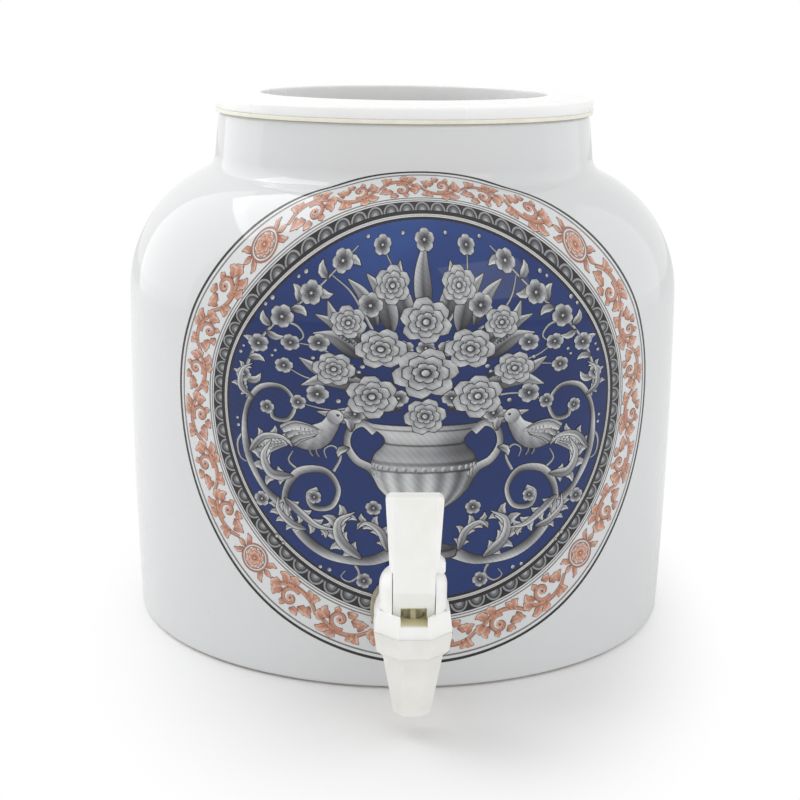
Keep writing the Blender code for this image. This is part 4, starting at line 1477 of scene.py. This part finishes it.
def makeTransfer(look):
    made, tree, shader, where = newMaterial("ceramic transfer print", glazeSockets)
    ink = addNode(tree, "ShaderNodeAttribute", {"attribute_name": "ink"})
    mottle = addNode(
        tree, "ShaderNodeTexNoise", {"Scale": 1 / look["mottle"], "Detail": 4.0}, {"Vector": where}
    )
    lines = addNode(
        tree,
        "ShaderNodeTexWave",
        {"bands_direction": "DIAGONAL", "Scale": math.pi / 10 / look["hatch"], "Distortion": 1.5},
        {"Vector": where},
    )
    pale = addNode(
        tree,
        "ShaderNodeMapRange",
        {"From Min": 0.3, "From Max": 0.7, "To Min": 0.92, "To Max": 1.06},
        {"Value": mottle.outputs["Fac"]},
    )
    deep = addNode(
        tree,
        "ShaderNodeMapRange",
        {"To Min": 1 - look["hatchDepth"], "To Max": 1.0},
        {"Value": lines.outputs["Fac"]},
    )
    strength = addNode(
        tree, "ShaderNodeMath", {"operation": "MULTIPLY"}, {0: pale.outputs[0], 1: deep.outputs[0]}
    )
    tint = addNode(
        tree,
        "ShaderNodeVectorMath",
        {"operation": "SCALE"},
        {0: ink.outputs["Color"], "Scale": strength.outputs[0]},
    )
    tree.links.new(tint.outputs[0], shader.inputs["Base Color"])
    glazeWaves(tree, shader, glaze, where)
    return made


transferPrint = makeTransfer(transfer)


def makePrint():
    rose, sprig, berry = newSheet(), newSheet(), newSheet()
    addBlossom(rose, petals=6, level=9, layers=3)
    addBlossom(sprig, petals=5, level=7)
    addDisc(berry, (0, 0), 1.25, slant(0.05), 6)
    addDisc(berry, (0, 0), 1.0, slant(0.72, -0.25, 0.25), 7)
    # four rosettes in the border, and six waves of the scroll between one and the next
    waves = roundPlaces(28, 106.6, 45, (0, -1, 1, -1, 1, -1, 1))
    stops = roundPlaces(28, 106.6, 45, (1, 0, 0, 0, 0, 0, 0))
    for name, sheet, places in (
        ("print_rings", drawRings(), None),
        ("print_field", drawField(), None),
        ("print_scrolls", drawScrolls(), None),
        ("print_leaves", drawLeaves(), None),
        ("print_urn", drawUrn(), None),
        ("print_scallops", drawScallop(), roundPlaces(72, 91.6)),
        ("print_border", drawBorderScroll(), waves),
        ("print_rosettes", drawRosette(), stops),
        ("print_roses", rose, rosePlaces),
        ("print_sprigs", sprig, sprigPlaces),
        ("print_berries", berry, berryPlaces),
        ("print_birds", drawBird(), birdPlaces),
    ):
        if places:
            mesh = repeatMotif(name, sheet, places, transferPrint)
        else:
            mesh = sheetMesh(name, sheet, transferPrint)
        layOnCrock(mesh)
        addPiece(name, mesh, "crock")


makePrint()
print("medallion printed")

# A photographer's table: a pale sweep in a white room, with a big softbox behind each
# shoulder of the crock, one above it and one in front on the right
studio = {
    "floor": ("#EFEFEF", "#F2F2F2"),
    # where the sweep turns from paper to plain white, as distances in m on a scale of its own
    "stretch": (1.6, 0.85, 1.0),
    "fade": (0.15, 0.26),
    "aim": (0, 0, 0.12),
    "world": 0.84,
    "left": {"at": (-1.05, 0.52, 0.60), "size": (1.1, 1.3), "power": 3.0},
    "right": {"at": (1.15, 0.38, 0.55), "size": (0.9, 1.2), "power": 1.1},
    "above": {"at": (-0.62, 0.25, 1.15), "size": (0.8, 0.5), "power": 3.0},
    "front": {"at": (0.80, -1.15, 0.95), "size": (0.9, 0.8), "power": 1.8},
}


def addSoftbox(name, lamp):
    data = bpy.data.lights.new(name, "AREA")
    data.shape = "RECTANGLE"
    data.size, data.size_y = lamp["size"]
    data.energy = lamp["power"]
    box = bpy.data.objects.new(name, data)
    scene.collection.objects.link(box)
    box.location = lamp["at"]
    aim = Vector(studio["aim"]) - Vector(lamp["at"])
    box.rotation_euler = aim.to_track_quat("-Z", "Y").to_euler()


def whiteForTheEye(tree, dim):
    # White where the eye, or a mirror or glass, looks straight at it; dimmer as a light
    rays = addNode(tree, "ShaderNodeLightPath").outputs
    seen = rays["Is Camera Ray"]
    for key in ("Is Glossy Ray", "Is Transmission Ray"):
        either = addNode(tree, "ShaderNodeMath", {"operation": "MAXIMUM"}, {0: seen, 1: rays[key]})
        seen = either.outputs[0]
    level = addNode(tree, "ShaderNodeMapRange", {"To Min": dim, "To Max": 1.0}, {"Value": seen})
    return level.outputs["Result"]


def makeStudio():
    for name in ("left", "right", "above", "front"):
        addSoftbox(name + " softbox", studio[name])
    world = bpy.data.worlds.new("white room")
    scene.world = world
    world.use_nodes = True
    back = world.node_tree.nodes["Background"]
    back.inputs["Color"].default_value = (1, 1, 1, 1)
    level = whiteForTheEye(world.node_tree, studio["world"])
    world.node_tree.links.new(level, back.inputs["Strength"])
    sheet = bpy.data.meshes.new("table")
    shape = bmesh.new()
    bmesh.ops.create_circle(shape, cap_ends=True, segments=96, radius=4.0)
    shape.to_mesh(sheet)
    shape.free()
    table = bpy.data.objects.new("table", sheet)
    scene.collection.objects.link(table)
    made, tree, shader, where = newMaterial("white paper sweep", {"Roughness": 0.75})
    pulp = addNode(
        tree, "ShaderNodeTexNoise", {"Scale": 1 / (0.9 * mm), "Detail": 4.0}, {"Vector": where}
    )
    dull, pale = studio["floor"]
    tint = colorRamp(tree, pulp.outputs["Fac"], [(0.3, dull), (0.7, pale)])
    tree.links.new(tint, shader.inputs["Base Color"])
    wide = addNode(
        tree, "ShaderNodeVectorMath", {"operation": "MULTIPLY", 1: studio["stretch"]}, {0: where}
    )
    far = addNode(tree, "ShaderNodeVectorMath", {"operation": "LENGTH"}, {0: wide.outputs[0]})
    near, gone = studio["fade"]
    fade = addNode(
        tree,
        "ShaderNodeMapRange",
        {"From Min": near, "From Max": gone, "interpolation_type": "SMOOTHSTEP"},
        {"Value": far.outputs["Value"]},
    )
    ray = addNode(tree, "ShaderNodeLightPath")
    share = addNode(
        tree,
        "ShaderNodeMath",
        {"operation": "MULTIPLY"},
        {0: fade.outputs["Result"], 1: ray.outputs["Is Camera Ray"]},
    )
    glow = addNode(tree, "ShaderNodeEmission", {"Strength": 1.0})
    mix = addNode(
        tree, "ShaderNodeMixShader", links={0: share.outputs[0], 1: shader.outputs[0], 2: glow.outputs[0]}
    )
    tree.links.new(mix.outputs[0], tree.nodes["Material Output"].inputs["Surface"])
    sheet.materials.append(made)


makeStudio()
print("studio set")
